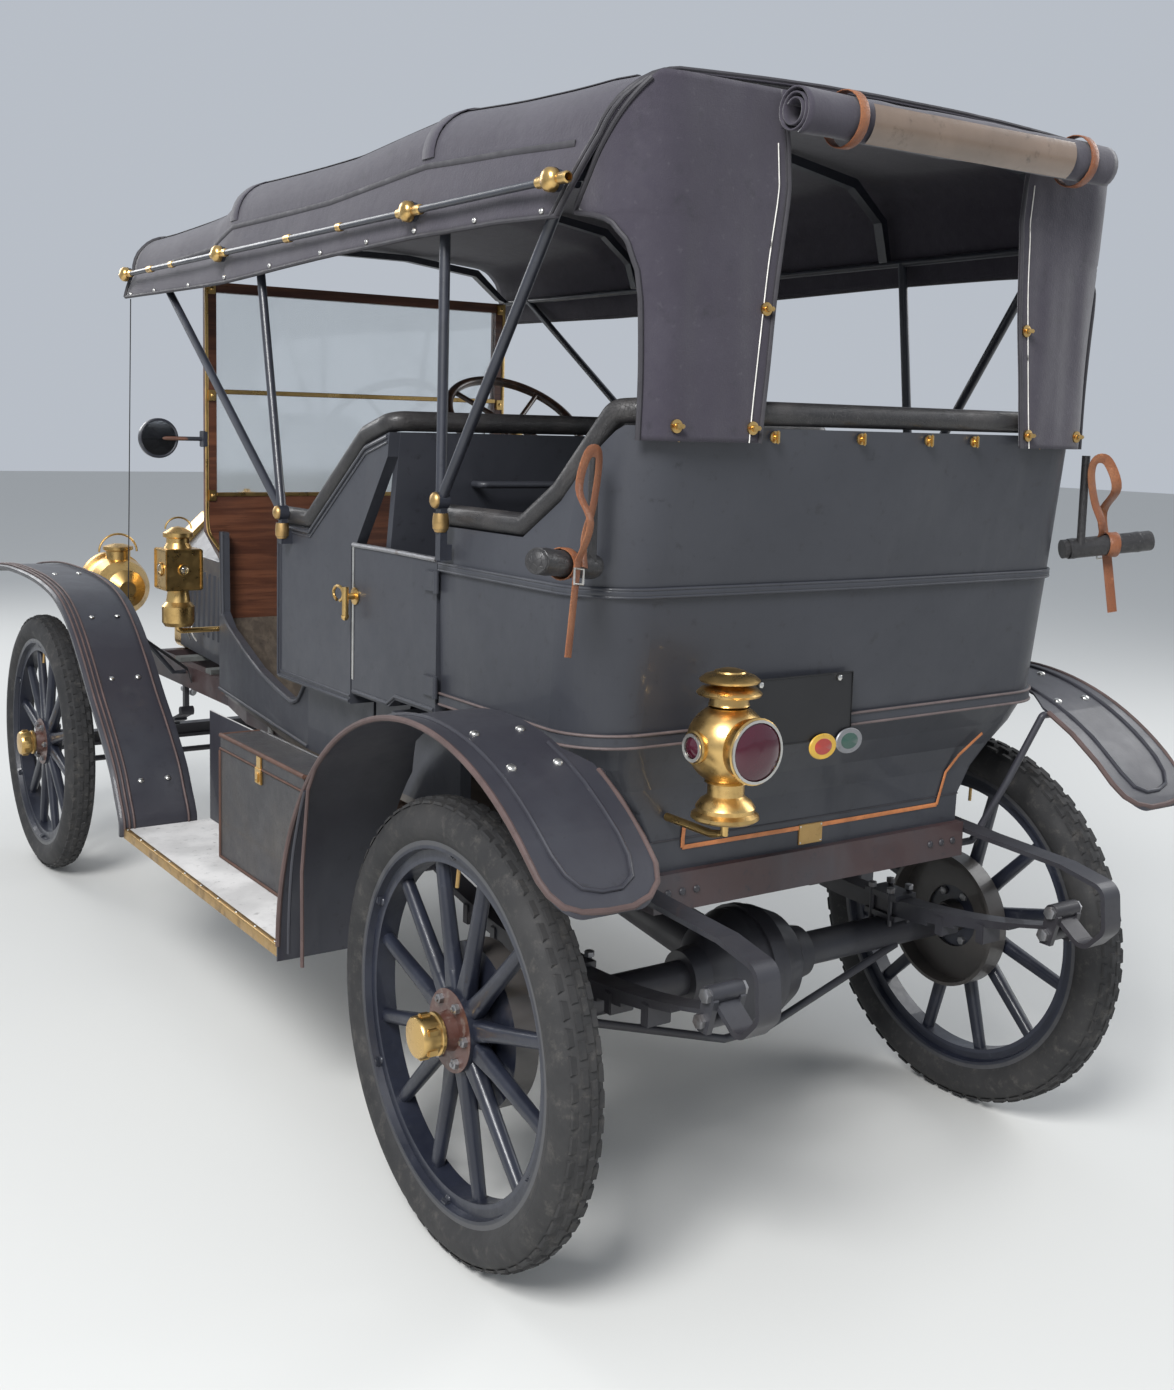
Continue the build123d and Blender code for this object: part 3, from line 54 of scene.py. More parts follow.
# Materials
class Shader:
    """A small builder for node materials around one Principled BSDF."""

    def __init__(self, name, base, rough, metal=0.0, coat=0.0, sheen=0.0):
        self.material = bpy.data.materials.new(name)
        self.material.use_nodes = True
        self.tree = self.material.node_tree
        self.bsdf = self.tree.nodes["Principled BSDF"]
        self.coords = self.add("ShaderNodeTexCoord").outputs["Object"]
        self.set("Base Color", (*base, 1))
        self.set("Roughness", rough)
        self.set("Metallic", metal)
        self.set("Coat Weight", coat)
        self.set("Sheen Weight", sheen)
        self.colour = None
        self.height = None
        self.base = base

    def add(self, kind, **settings):
        node = self.tree.nodes.new(kind)
        for key, value in settings.items():
            setattr(node, key, value)
        return node

    def link(self, out, into):
        self.tree.links.new(out, into)

    def set(self, socket, value):
        self.bsdf.inputs[socket].default_value = value

    def noise(self, scale, detail=4.0, rough=0.6, stretch=(1, 1, 1), distortion=0.0):
        """Noise of 0 to 1 in object space, finer as the scale rises."""
        mapping = self.add("ShaderNodeMapping")
        mapping.inputs["Scale"].default_value = stretch
        self.link(self.coords, mapping.inputs["Vector"])
        texture = self.add("ShaderNodeTexNoise")
        texture.inputs["Scale"].default_value = scale
        texture.inputs["Detail"].default_value = detail
        texture.inputs["Roughness"].default_value = rough
        texture.inputs["Distortion"].default_value = distortion
        self.link(mapping.outputs["Vector"], texture.inputs["Vector"])
        return texture.outputs["Fac"]

    def cells(self, scale, feature="DISTANCE_TO_EDGE", stretch=(1, 1, 1)):
        mapping = self.add("ShaderNodeMapping")
        mapping.inputs["Scale"].default_value = stretch
        self.link(self.coords, mapping.inputs["Vector"])
        texture = self.add("ShaderNodeTexVoronoi", feature=feature)
        texture.inputs["Scale"].default_value = scale
        self.link(mapping.outputs["Vector"], texture.inputs["Vector"])
        return texture.outputs["Distance"]

    def ramp(self, value, low, high, to_low=0.0, to_high=1.0):
        """Maps low..high of a value to to_low..to_high, clamped."""
        node = self.add("ShaderNodeMapRange", interpolation_type="SMOOTHSTEP")
        node.inputs["From Min"].default_value = low
        node.inputs["From Max"].default_value = high
        node.inputs["To Min"].default_value = to_low
        node.inputs["To Max"].default_value = to_high
        self.link(value, node.inputs["Value"])
        return node.outputs["Result"]

    def math(self, operation, first, second):
        node = self.add("ShaderNodeMath", operation=operation)
        for socket, value in zip(node.inputs, (first, second)):
            if isinstance(value, (int, float)):
                socket.default_value = value
            else:
                self.link(value, socket)
        return node.outputs[0]

    def axis(self, name):
        """The object-space X, Y or Z of the surface point."""
        node = self.add("ShaderNodeSeparateXYZ")
        self.link(self.coords, node.inputs[0])
        return node.outputs[name]

    def tint(self, mask, colour, amount=None):
        """Lays a colour over what is there where the mask is 1, or by an amount of the mask."""
        if amount is not None:
            mask = self.math("MULTIPLY", mask, amount)
        node = self.add("ShaderNodeMix", data_type="RGBA")
        self.link(mask, node.inputs["Factor"])
        if self.colour is None:
            node.inputs["A"].default_value = (*self.base, 1)
        else:
            self.link(self.colour, node.inputs["A"])
        node.inputs["B"].default_value = (*colour, 1)
        self.colour = node.outputs["Result"]
        self.link(self.colour, self.bsdf.inputs["Base Color"])
        return self

    def gloss(self, value, low, high):
        """Roughness between low and high, driven by a mask."""
        self.link(self.ramp(value, 0.0, 1.0, low, high), self.bsdf.inputs["Roughness"])
        return self

    def metal_where(self, mask):
        self.link(mask, self.bsdf.inputs["Metallic"])
        return self

    def bump(self, height, depth, strength=1.0):
        """Relief of a height field whose full swing is depth metres."""
        node = self.add("ShaderNodeBump")
        node.inputs["Strength"].default_value = strength
        node.inputs["Distance"].default_value = depth
        self.link(height, node.inputs["Height"])
        if self.height is not None:
            self.link(self.height, node.inputs["Normal"])
        self.height = node.outputs["Normal"]
        self.link(self.height, self.bsdf.inputs["Normal"])
        return self


def body_paint(name="body_paint", base=(0.029, 0.031, 0.039), rust=1.0):
    s = Shader(name, base, 0.5, coat=0.12)
    s.tint(s.ramp(s.noise(2.2, 5), 0.35, 0.75), (0.038, 0.040, 0.049))
    s.tint(s.ramp(s.noise(38, 6, 0.7), 0.56, 0.74), (0.020, 0.020, 0.025))
    streaks = s.ramp(s.noise(9, 5, stretch=(1, 1, 0.12)), 0.55, 0.8)
    s.tint(streaks, (0.058, 0.060, 0.066), 0.45)
    spots = s.ramp(s.noise(60, 8, 0.75), 0.71, 0.77)
    s.tint(spots, (0.13, 0.045, 0.02), 0.75 * rust)
    s.gloss(s.noise(14, 5), 0.38, 0.62)
    s.bump(s.noise(160, 3), 0.0004, 0.35)
    return s


def top_cloth(name="top_cloth", base=(0.027, 0.022, 0.035)):
    """Rubbered twill: fine weave, faded and dusty in patches."""
    s = Shader(name, base, 0.82, sheen=0.25)
    s.tint(s.ramp(s.noise(3.0, 6), 0.35, 0.7), (0.037, 0.032, 0.046))
    s.tint(s.ramp(s.noise(17, 6, 0.7), 0.55, 0.78), (0.017, 0.015, 0.023))
    s.tint(s.ramp(s.noise(70, 4), 0.6, 0.75), (0.060, 0.055, 0.068), 0.5)
    s.bump(s.noise(22, 5), 0.004, 0.25)
    weave = s.math("ADD", s.noise(900, 0, stretch=(1, 0.2, 0.2)), s.noise(900, 0, stretch=(0.2, 1, 1)))
    s.bump(weave, 0.0006, 0.5)
    s.gloss(s.noise(40, 4), 0.72, 0.92)
    return s


def leather(name, base, worn, scale=1.0):
    """Carriage leather, crazed and rubbed pale on its ridges."""
    s = Shader(name, base, 0.45, coat=0.1)
    s.tint(s.ramp(s.noise(5 * scale, 6), 0.4, 0.75), worn)
    crack = s.ramp(s.cells(95 * scale), 0.0, 0.05, 1.0, 0.0)
    s.tint(crack, tuple(0.5 * value for value in base), 0.7)
    s.tint(s.ramp(s.noise(28 * scale, 7, 0.75), 0.6, 0.72),
            tuple(min(2.0 * value + 0.01, 1) for value in worn), 0.5)
    s.bump(crack, -0.0008, 0.7)
    s.bump(s.noise(45 * scale, 6), 0.003, 0.35)
    s.gloss(s.noise(12 * scale, 5), 0.32, 0.62)
    return s


def metal(name, base, rough, stain, amount=0.5, scale=1.0):
    """Bare metal with tarnish in blotches and fine scuffs."""
    s = Shader(name, base, rough, metal=1.0)
    blotch = s.ramp(s.noise(16 * scale, 6, 0.65), 0.5, 0.72)
    s.tint(blotch, stain, amount)
    s.tint(s.ramp(s.noise(90 * scale, 5), 0.62, 0.74), tuple(0.5 * v for v in stain), 0.6 * amount)
    s.gloss(s.noise(30 * scale, 6, 0.7), rough * 0.7, min(rough * 1.9, 0.9))
    s.bump(s.noise(220 * scale, 3), 0.0003, 0.25)
    return s


def wood(name, dark, light, along=(1, 0.06, 1)):
    """Varnished timber with its grain drawn out along one axis."""
    s = Shader(name, dark, 0.35, coat=0.35)
    grain = s.noise(34, 8, 0.65, stretch=along, distortion=0.6)
    s.tint(s.ramp(grain, 0.38, 0.66), light)
    s.tint(s.ramp(s.noise(150, 6, 0.6, stretch=along), 0.55, 0.7), tuple(0.5 * v for v in dark), 0.6)
    s.gloss(s.noise(9, 5), 0.25, 0.5)
    s.bump(grain, 0.0006, 0.4)
    return s


def rubber(name="tyre_rubber"):
    s = Shader(name, (0.018, 0.018, 0.019), 0.82)
    s.tint(s.ramp(s.noise(6, 6), 0.35, 0.7), (0.032, 0.031, 0.031))
    s.tint(s.ramp(s.noise(30, 8, 0.75), 0.5, 0.72), (0.085, 0.078, 0.070), 0.6)
    s.tint(s.ramp(s.noise(140, 6), 0.62, 0.72), (0.02, 0.02, 0.02), 0.5)
    s.gloss(s.noise(20, 5), 0.65, 0.92)
    s.bump(s.noise(120, 5), 0.0012, 0.4)
    return s


def wheel_finish(name, axle_y, drum):
    """Painted wheel: its rings are told apart by distance from the axle and along it."""
    s = Shader(name, (0.010, 0.012, 0.021), 0.38, coat=0.2)
    y = s.math("SUBTRACT", s.axis("Y"), axle_y)
    z = s.math("SUBTRACT", s.axis("Z"), AXLE_Z / 1000)
    radius = s.math("SQRT", s.math("ADD", s.math("MULTIPLY", y, y), s.math("MULTIPLY", z, z)), 0)
    out = s.math("ABSOLUTE", s.axis("X"), 0)
    wear = s.noise(45, 7, 0.7)
    s.tint(s.ramp(s.noise(8, 5), 0.4, 0.7), (0.016, 0.019, 0.032))
    s.tint(s.ramp(wear, 0.60, 0.74), (0.06, 0.065, 0.078), 0.5)
    rim = s.math("MULTIPLY", s.ramp(radius, 0.361, 0.364), s.ramp(wear, 0.3, 0.6, 0.6, 1.0))
    s.tint(rim, (0.085, 0.085, 0.09))
    s.tint(s.math("MULTIPLY", s.ramp(radius, 0.3285, 0.330), s.ramp(radius, 0.336, 0.338, 1.0, 0.0)),
            (0.022, 0.025, 0.038))
    flange = s.math("MULTIPLY", s.ramp(radius, 0.0825, 0.0835, 1.0, 0.0), s.ramp(out, 0.7355, 0.7365))
    s.tint(flange, (0.075, 0.030, 0.022))
    s.tint(s.math("MULTIPLY", flange, s.ramp(wear, 0.5, 0.65)), (0.14, 0.10, 0.085))
    cap = s.math("MULTIPLY", s.ramp(radius, 0.0405, 0.041, 1.0, 0.0), s.ramp(out, 0.7685, 0.7695))
    s.tint(cap, (0.46, 0.30, 0.12))
    s.tint(s.math("MULTIPLY", cap, s.ramp(s.noise(60, 6), 0.5, 0.7)), (0.20, 0.12, 0.05))
    s.metal_where(s.math("MAXIMUM", cap, s.math("MULTIPLY", rim, 0.5)))
    if drum:
        inner = s.math("MULTIPLY", s.ramp(out, 0.684, 0.6845, 1.0, 0.0),
                       s.ramp(radius, 0.168, 0.1685, 1.0, 0.0))
        s.tint(inner, (0.05, 0.045, 0.042))
    s.gloss(wear, 0.28, 0.6)
    s.bump(s.noise(90, 4), 0.0006, 0.3)
    return s


def glass_finish(name, tint_colour, rough=0.02, solid=False):
    s = Shader(name, tint_colour, rough, coat=0.5)
    s.set("Transmission Weight", 0.25 if solid else 0.96)
    s.set("IOR", 1.48)
    smear = s.ramp(s.noise(5, 6), 0.45, 0.8)
    s.tint(smear, tuple(min(1, 0.8 * v) for v in tint_colour), 0.35)
    s.gloss(s.noise(7, 6), rough, rough + 0.1)
    return s


def plain(name, base, rough, sheen=0.0, coat=0.0, grain=60, depth=0.0006):
    """A single-stuff finish with mottle and relief of its own."""
    s = Shader(name, base, rough, sheen=sheen, coat=coat)
    s.tint(s.ramp(s.noise(grain / 7, 6), 0.38, 0.7), tuple(min(1, 1.35 * v) for v in base))
    s.tint(s.ramp(s.noise(grain, 7, 0.7), 0.56, 0.74), tuple(0.6 * v for v in base))
    s.gloss(s.noise(grain / 3, 5), rough * 0.8, min(1, rough * 1.25))
    s.bump(s.noise(grain * 2.4, 4), depth, 0.4)
    return s


PAINT = body_paint()
WING_PAINT = body_paint("wing_paint", (0.024, 0.023, 0.031), 1.3)
CHASSIS_PAINT = body_paint("chassis_paint", (0.024, 0.022, 0.026), 2.0)
FRAME_PAINT = body_paint("frame_paint", (0.050, 0.025, 0.024), 2.2)
CLOTH = top_cloth()
PIPING = plain("piping", (0.030, 0.028, 0.033), 0.6, grain=120)
THREAD = plain("thread", (0.62, 0.60, 0.56), 0.8, grain=200)
LEATHER = leather("seat_leather", (0.022, 0.021, 0.022), (0.045, 0.043, 0.043))
ROLL_LEATHER = leather("roll_leather", (0.018, 0.017, 0.018), (0.055, 0.050, 0.048), 1.4)
BOX_LEATHER = leather("box_leathercloth", (0.030, 0.029, 0.032), (0.050, 0.044, 0.040), 1.2)
STRAP = leather("tan_strap", (0.22, 0.075, 0.030), (0.30, 0.12, 0.05), 2.0)
CELLULOID = plain("old_celluloid", (0.16, 0.115, 0.085), 0.22, coat=0.6, grain=30, depth=0.0008)
BRASS = metal("brass", (0.66, 0.44, 0.17), 0.24, (0.30, 0.17, 0.06), 0.55)
OLD_BRASS = metal("worn_brass", (0.50, 0.33, 0.14), 0.34, (0.16, 0.09, 0.04), 0.8)
NICKEL = metal("nickel", (0.62, 0.61, 0.58), 0.25, (0.30, 0.28, 0.25), 0.4)
STEEL = metal("worn_steel", (0.32, 0.32, 0.33), 0.40, (0.13, 0.09, 0.07), 0.6)
IRON = plain("black_iron", (0.020, 0.022, 0.030), 0.42, coat=0.25, grain=80)
RUSTY = plain("rusty_pipe", (0.085, 0.050, 0.036), 0.8, grain=50, depth=0.0015)
ENGINE = plain("engine_casting", (0.10, 0.105, 0.10), 0.65, grain=40, depth=0.002)
CORE = plain("radiator_core", (0.030, 0.029, 0.028), 0.6, grain=90)
MAHOGANY = wood("mahogany", (0.060, 0.022, 0.013), (0.13, 0.050, 0.026), (0.06, 1, 1))
WHEEL_RIM_WOOD = wood("wheel_rim_wood", (0.035, 0.018, 0.012), (0.075, 0.036, 0.020), (1, 1, 1))
FLOOR_WOOD = wood("floor_boards", (0.050, 0.040, 0.032), (0.085, 0.068, 0.052), (1, 0.05, 1))
BOARD = plain("board_skin", (0.52, 0.51, 0.50), 0.55, grain=40)
RUBBER = rubber()
PLATE = plain("plate_enamel", (0.006, 0.006, 0.007), 0.45, coat=0.1, grain=50, depth=0.0002)
GLASS = glass_finish("pane_glass", (0.93, 0.96, 0.96))
LENS = glass_finish("lens_glass", (0.85, 0.92, 0.93), 0.04)
RUBY = glass_finish("tail_lens", (0.07, 0.008, 0.02), 0.06, solid=True)
COPPER_LINE = plain("copper_line", (0.42, 0.15, 0.05), 0.45, grain=200, depth=0.0001)
BADGE_YELLOW = plain("badge_yellow", (0.50, 0.30, 0.03), 0.35, coat=0.5, grain=90, depth=0.0002)
BADGE_RED = plain("badge_red", (0.30, 0.03, 0.02), 0.35, coat=0.5, grain=90, depth=0.0002)
BADGE_GREEN = plain("badge_green", (0.02, 0.06, 0.045), 0.35, coat=0.5, grain=90, depth=0.0002)
LIP_WEAR = plain("lip_wear", (0.10, 0.075, 0.072), 0.6, grain=120)
WING_EDGE = plain("wing_edge", (0.075, 0.048, 0.044), 0.6, grain=90)
BOX_EDGE = plain("box_edge", (0.075, 0.036, 0.024), 0.7, grain=110)
BLACK_STRAP = plain("black_webbing", (0.016, 0.016, 0.018), 0.85, grain=160)
MIRROR = metal("mirror_glass", (0.80, 0.82, 0.84), 0.05, (0.6, 0.6, 0.6), 0.1)
WHEEL_FRONT = wheel_finish("wheel_front", REAR_AXLE_Y + WHEELBASE / 1000, False)
WHEEL_REAR = wheel_finish("wheel_rear", REAR_AXLE_Y, True)

FINISHES = {
    "frame": FRAME_PAINT, "front_axle": CHASSIS_PAINT, "rear_axle": CHASSIS_PAINT, "springs": CHASSIS_PAINT,
    "engine": ENGINE, "radiator": BRASS, "bonnet_left": PAINT, "bonnet_right": PAINT, "starting_crank": STEEL,
    "steering_column": STEEL, "steering_wheel": WHEEL_RIM_WOOD, "pitman_arm": CHASSIS_PAINT,
    "drag_link": CHASSIS_PAINT, "tie_rod": CHASSIS_PAINT, "knuckle_left": CHASSIS_PAINT,
    "knuckle_right": CHASSIS_PAINT, "floor": FLOOR_WOOD, "front_sides": PAINT, "front_seat_back": PAINT,
    "seats": LEATHER, "seat_rolls": ROLL_LEATHER, "tonneau": PAINT, "door_left": PAINT, "door_right": PAINT,
    "dash": MAHOGANY, "windscreen": MAHOGANY, "windscreen_glass": GLASS, "front_wings": WING_PAINT,
    "rear_wings": WING_PAINT, "running_boards": BOARD, "toolbox": BOX_LEATHER, "toolbox_lid": BOX_LEATHER,
    "canopy": CLOTH, "rear_quarters": CLOTH, "rear_curtain": CLOTH, "top_irons": IRON, "tail_lamp": BRASS,
    "front_lamps": BRASS, "number_plate": PLATE, "top_rests": LEATHER, "top_straps": STRAP, "exhaust": RUSTY,
    "levers": STEEL, "wheel_front_left": WHEEL_FRONT, "wheel_front_right": WHEEL_FRONT,
    "wheel_rear_left": WHEEL_REAR, "wheel_rear_right": WHEEL_REAR,
}


def paint(node, finish):
    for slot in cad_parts[node].material_slots:
        slot.material = finish.material


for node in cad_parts:
    paint(node, FINISHES.get(node, RUBBER))


# Geometry helpers: each shape is a pair of vertex and face lists, in metres
def at(x, y, z):
    """A point given in millimetres, y ahead of the rear axle."""
    return Vector((x / 1000, y / 1000 + REAR_AXLE_Y, z / 1000))


def path(*points, side=1):
    """Places of points in millimetres, mirrored where side is -1."""
    return [at(side * x, y, z) for x, y, z in points]


def sided(point, side):
    """A point in millimetres as a place, mirrored where side is -1."""
    return at(side * point.x, point.y, point.z)


def smooth_path(points, steps=6):
    """More points on a smooth curve through the ones given."""
    curve = []
    for i in range(len(points) - 1):
        p0 = points[max(i - 1, 0)]
        p1, p2 = points[i], points[i + 1]
        p3 = points[min(i + 2, len(points) - 1)]
        for step in range(steps):
            t = step / steps
            curve.append(0.5 * (2 * p1 + (p2 - p0) * t + (2 * p0 - 5 * p1 + 4 * p2 - p3) * t ** 2
                                + (3 * p1 - p0 - 3 * p2 + p3) * t ** 3))
    return curve + [points[-1]]


def grid_faces(rows, columns, wrap=False):
    faces = []
    for row in range(rows - 1):
        for column in range(columns if wrap else columns - 1):
            after = (column + 1) % columns
            faces.append((row * columns + column, row * columns + after,
                          (row + 1) * columns + after, (row + 1) * columns + column))
    return faces


def swept(points, section, across=None):
    """A closed section, as (sideways, upward) pairs, carried along points."""
    verts = []
    side = across
    for i, point in enumerate(points):
        along = (points[min(i + 1, len(points) - 1)] - points[max(i - 1, 0)]).normalized()
        if side is None:
            side = along.cross(Vector((0, 0, 1)) if abs(along.z) < 0.9 else Vector((0, 1, 0)))
        side = (side - along * side.dot(along)).normalized()
        up = side.cross(along)
        verts += [point + side * u + up * v for u, v in section]
    count = len(section)
    faces = grid_faces(len(points), count, wrap=True)
    faces.append(tuple(range(count))[::-1])
    faces.append(tuple(range(len(verts) - count, len(verts))))
    return verts, faces


def tube(points, radius, sides=10, across=None):
    ring = [(radius * cos(2 * pi * k / sides), radius * sin(2 * pi * k / sides)) for k in range(sides)]
    return swept(points, ring, across)


def strip(points, width, thick, across=None):
    """A flat band with rounded edges, its width along the direction across."""
    w, t = width / 2, thick / 2
    return swept(points, [(-w, -t * 0.4), (-w + t, -t), (w - t, -t), (w, -t * 0.4), (w, t * 0.4), (w - t, t),
                          (-w + t, t), (-w, t * 0.4)], across)


def turned(centre, axis, profile, segments=28):
    """A lathe shape from (radius, reach) pairs along an axis."""
    axis = Vector(axis).normalized()
    side = axis.orthogonal().normalized()
    other = axis.cross(side)
    verts = []
    for radius, reach in profile:
        for k in range(segments):
            turn = 2 * pi * k / segments
            verts.append(centre + axis * reach + (side * cos(turn) + other * sin(turn)) * max(radius, 1e-5))
    return verts, grid_faces(len(profile), segments, wrap=True)


def lathe(centre, axis, profile, segments=28):
    """A lathe shape whose (radius, reach) pairs are in millimetres."""
    return turned(centre, axis, [(radius / 1000, reach / 1000) for radius, reach in profile], segments)


def dome(centre, axis, radius, height, segments=12):
    return turned(centre, axis, [(radius, -height * 0.3), (radius, 0), (radius * 0.92, height * 0.45),
                                 (radius * 0.6, height * 0.85), (0, height)], segments)


def nut(centre, axis, radius, height):
    return turned(centre, axis, [(0, 0), (radius, 0), (radius, height), (radius * 0.8, height * 1.15),
            (0, height * 1.15)], 6)


def bar(low, high, bevel=0.002):
    """A box between two corners with bevelled edges."""
    mesh = bmesh.new()
    bmesh.ops.create_cube(mesh, size=1)
    for vert in mesh.verts:
        vert.co = Vector((a + (b - a) * (c + 0.5) for a, b, c in zip(low, high, vert.co)))
    if bevel:
        bmesh.ops.bevel(mesh, geom=mesh.edges[:], offset=bevel, segments=2, affect="EDGES")
    shape = [vert.co.copy() for vert in mesh.verts], [tuple(v.index for v in face.verts)
            for face in mesh.faces]
    mesh.free()
    return shape


def piece(name, shapes, material, body="chassis"):
    """One object made of shapes, riding on a body."""
    verts, faces = [], []
    for shape_verts, shape_faces in shapes:
        start = len(verts)
        verts += shape_verts
        faces += [tuple(start + index for index in face) for face in shape_faces]
    mesh = bpy.data.meshes.new(name)
    mesh.from_pydata(verts, [], faces)
    work = bmesh.new()
    work.from_mesh(mesh)
    bmesh.ops.remove_doubles(work, verts=work.verts, dist=1e-5)
    bmesh.ops.recalc_face_normals(work, faces=work.faces)
    work.to_mesh(mesh)
    work.free()
    mesh.shade_smooth()
    mesh.set_sharp_from_angle(angle=radians(38))
    mesh.materials.append(material.material)
    made = bpy.data.objects.new(name, mesh)
    bpy.context.scene.collection.objects.link(made)
    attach(made, body)
    return made


def thicken(made, thickness, levels=0):
    """Gives a sheet its thickness, and subdivides it where levels says so."""
    if levels:
        made.modifiers.new("smooth", "SUBSURF").levels = levels
        made.modifiers["smooth"].render_levels = levels
    solid = made.modifiers.new("thickness", "SOLIDIFY")
    solid.thickness = thickness
    solid.offset = -1
    return made


def between(table, y):
    """Values of a table of rows that start with y, eased between neighbouring rows."""
    for high, low in zip(table, table[1:]):
        if low[0] <= y <= high[0]:
            t = (high[0] - y) / (high[0] - low[0])
            return [a + (b - a) * t for a, b in zip(high[1:], low[1:])]
    return list(table[-1][1:] if y < table[-1][0] else table[0][1:])


# Folding top: one cloth sheet over the bows, sagging between them
TOP_TABLE = (  # y, half width at the valance, valance z, half width and z of the shoulder, crown z
    (2200, 676, 1992, 648, 2178, 2202),
    (1525, 676, 1984, 648, 2200, 2256),
    (1365, 676, 1984, 648, 2248, 2285),
    (771, 677, 2000, 648, 2247, 2294),
    (299, 678, 2006, 648, 2270, 2312),
    (-35, 676, 2004, 646, 2254, 2290),
    (-260, 668, 1997, 645, 2240, 2262),
    (-430, 655, 1992, 643, 2228, 2243),
)
BOW_STATIONS = (2200, 1365, 299, -234)
SHOULDER_R = 108
ARCH_LEAN = 0.773
TOP_FRONT = 2200


def arch_y(z):
    return -262 - ARCH_LEAN * (z - 2055)


def top_point(y, u, proud=0.0):
    """A point of the top at a station; u runs from -1 at the left valance over to 1."""
    half, low, shoulder, shoulder_z, crown = between(TOP_TABLE, y)
    span = abs(u)
    arc_z = shoulder_z - SHOULDER_R
    if span > 0.62:
        t = (span - 0.62) / 0.38
        x = shoulder + (half - shoulder) * t + 3 * sin(pi * t)
        z = arc_z + (low - arc_z) * t
    elif span > 0.36:
        t = (span - 0.36) / 0.26
        turn = pi / 2 * (1 - t)
        x = shoulder - SHOULDER_R + SHOULDER_R * cos(turn)
        z = arc_z + SHOULDER_R * sin(turn)
    else:
        t = span / 0.36
        x = (shoulder - SHOULDER_R) * t
        z = crown + (shoulder_z - crown) * t ** 2.2
    for front, rear in zip(BOW_STATIONS, BOW_STATIONS[1:]):
        if rear <= y <= front:
            along = (front - y) / (front - rear)
            slack = 9 * sin(pi * along) ** 0.8
            z -= slack * (1 - min(span / 0.75, 1)) + 0.35 * slack * (0.3 < span < 0.62) * sin(pi * (span
                    - 0.3) / 0.32)
    ripple = noise(Vector((x / 170, y / 260, z / 200))) * 3.0 + noise(Vector((x / 60, y / 90, z / 70))) * 0.8
    if span > 0.62:
        x += ripple * 1.2
    else:
        z += ripple * 0.7
    point = Vector((x + proud * (span > 0.5), y, z + proud * (span <= 0.62)))
    point.x *= 1 if u >= 0 else -1
    return point


def arch_stop(u):
    """The station where the leaning arch meets the top at u."""
    y = -200.0
    for _ in range(12):
        y = arch_y(top_point(y, u).z)
    return y


def make_top():
    rows = [-1 + 2 * k / 64 for k in range(65)]
    columns = 96
    verts = []
    for k in range(columns + 1):
        t = k / columns
        for u in rows:
            stop = arch_stop(u)
            y = TOP_FRONT + (stop - TOP_FRONT) * t
            verts.append(at(*top_point(y, u)))
    top = piece("top_cloth", [(verts, grid_faces(columns + 1, len(rows)))], CLOTH)
    thicken(top, 0.004)
    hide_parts("canopy")
    hem = []
    for side in (-1, 1):
        hem.append(tube([at(*top_point(TOP_FRONT - 2420 * k / 90, side, 1)) for k in range(91)], 0.005, 8))
        seam = [at(*top_point(TOP_FRONT - 2440 * k / 90, side * 0.655, 1.5)) for k in range(91)]
        hem.append(strip(seam, 0.012, 0.003, Vector((0, 0, 1))))
        high = [at(*top_point(TOP_FRONT - 2500 * k / 90, side * 0.40, 1.5)) for k in range(91)]
        hem.append(strip(high, 0.010, 0.003, Vector((1, 0, 0))))
    front = [at(*top_point(TOP_FRONT + 1, -1 + 2 * k / 64, 2)) for k in range(65)]
    hem.append(tube(front, 0.006, 8))
    for lift in (3, 17):
        arch = []
        for k in range(65):
            u = -1 + 2 * k / 64
            arch.append(at(*top_point(arch_stop(u) + lift, u, 2.5)))
        hem.append(tube(arch, 0.0045, 8))
    piece("top_piping", hem, PIPING)
    for y in (1365, 299):
        band = [at(*top_point(y, -0.62 + 1.24 * k / 48, 2)) for k in range(49)]
        fold = strip(band, 0.050, 0.003, Vector((0, 1, 0)))
        piece(f"bow_band_{y}", [fold], CLOTH)
    studs = []
    for k in range(8):
        u = -0.33 + 0.66 * k / 7
        studs.append(dome(at(*top_point(arch_stop(u) + 10, u, 4)), (0, -0.6, 0.8), 0.006, 0.004))
    for side in (-1, 1):
        for y in (2150, 1930, 1640, 1365, 1060, 760, 520, 299, 60, -170):
            spot = top_point(y, side * 0.97, 2)
            studs.append(dome(at(*spot), (side, 0, 0.1), 0.006, 0.004))
    piece("top_studs", studs, NICKEL)


# Rear quarters: cloth round the corners, from the arch down to the rail of the tub
QUARTER_TABLE = (  # -z, half width, back y, bow, corner radius
    (-1612, 629, -416, 20, 140),
    (-2255, 643, -411, 3, 108),
)


def tub_point(half, back, bow, corner, s):
    """Plan position at distance s round the outline, from the middle of the back to the side."""
    flat = half - corner
    if s < flat:
        return s, back + bow * s / half, 0.0
    turn = (s - flat) / corner
    if turn < pi / 2:
        centre_y = back + bow * flat / half + corner
        return flat + corner * sin(turn), centre_y - corner * cos(turn), turn
    return half, back + bow * flat / half + corner + (s - flat - corner * pi / 2), pi / 2


def quarter_point(s, z, proud=0.0):
    half, back, bow, corner = between(QUARTER_TABLE, -z)
    x, y, turn = tub_point(half, back, bow, corner, s)
    hang = sin(pi * min(max((z - 1612) / 420, 0), 1))
    fold = noise(Vector((s / 75, z / 500, 3.1))) * 7 * hang + noise(Vector((s / 40, z / 160, 8.0))) * 1.6
    out = proud + fold - 4 * hang
    return Vector((x + out * sin(turn), y - out * cos(turn), z))


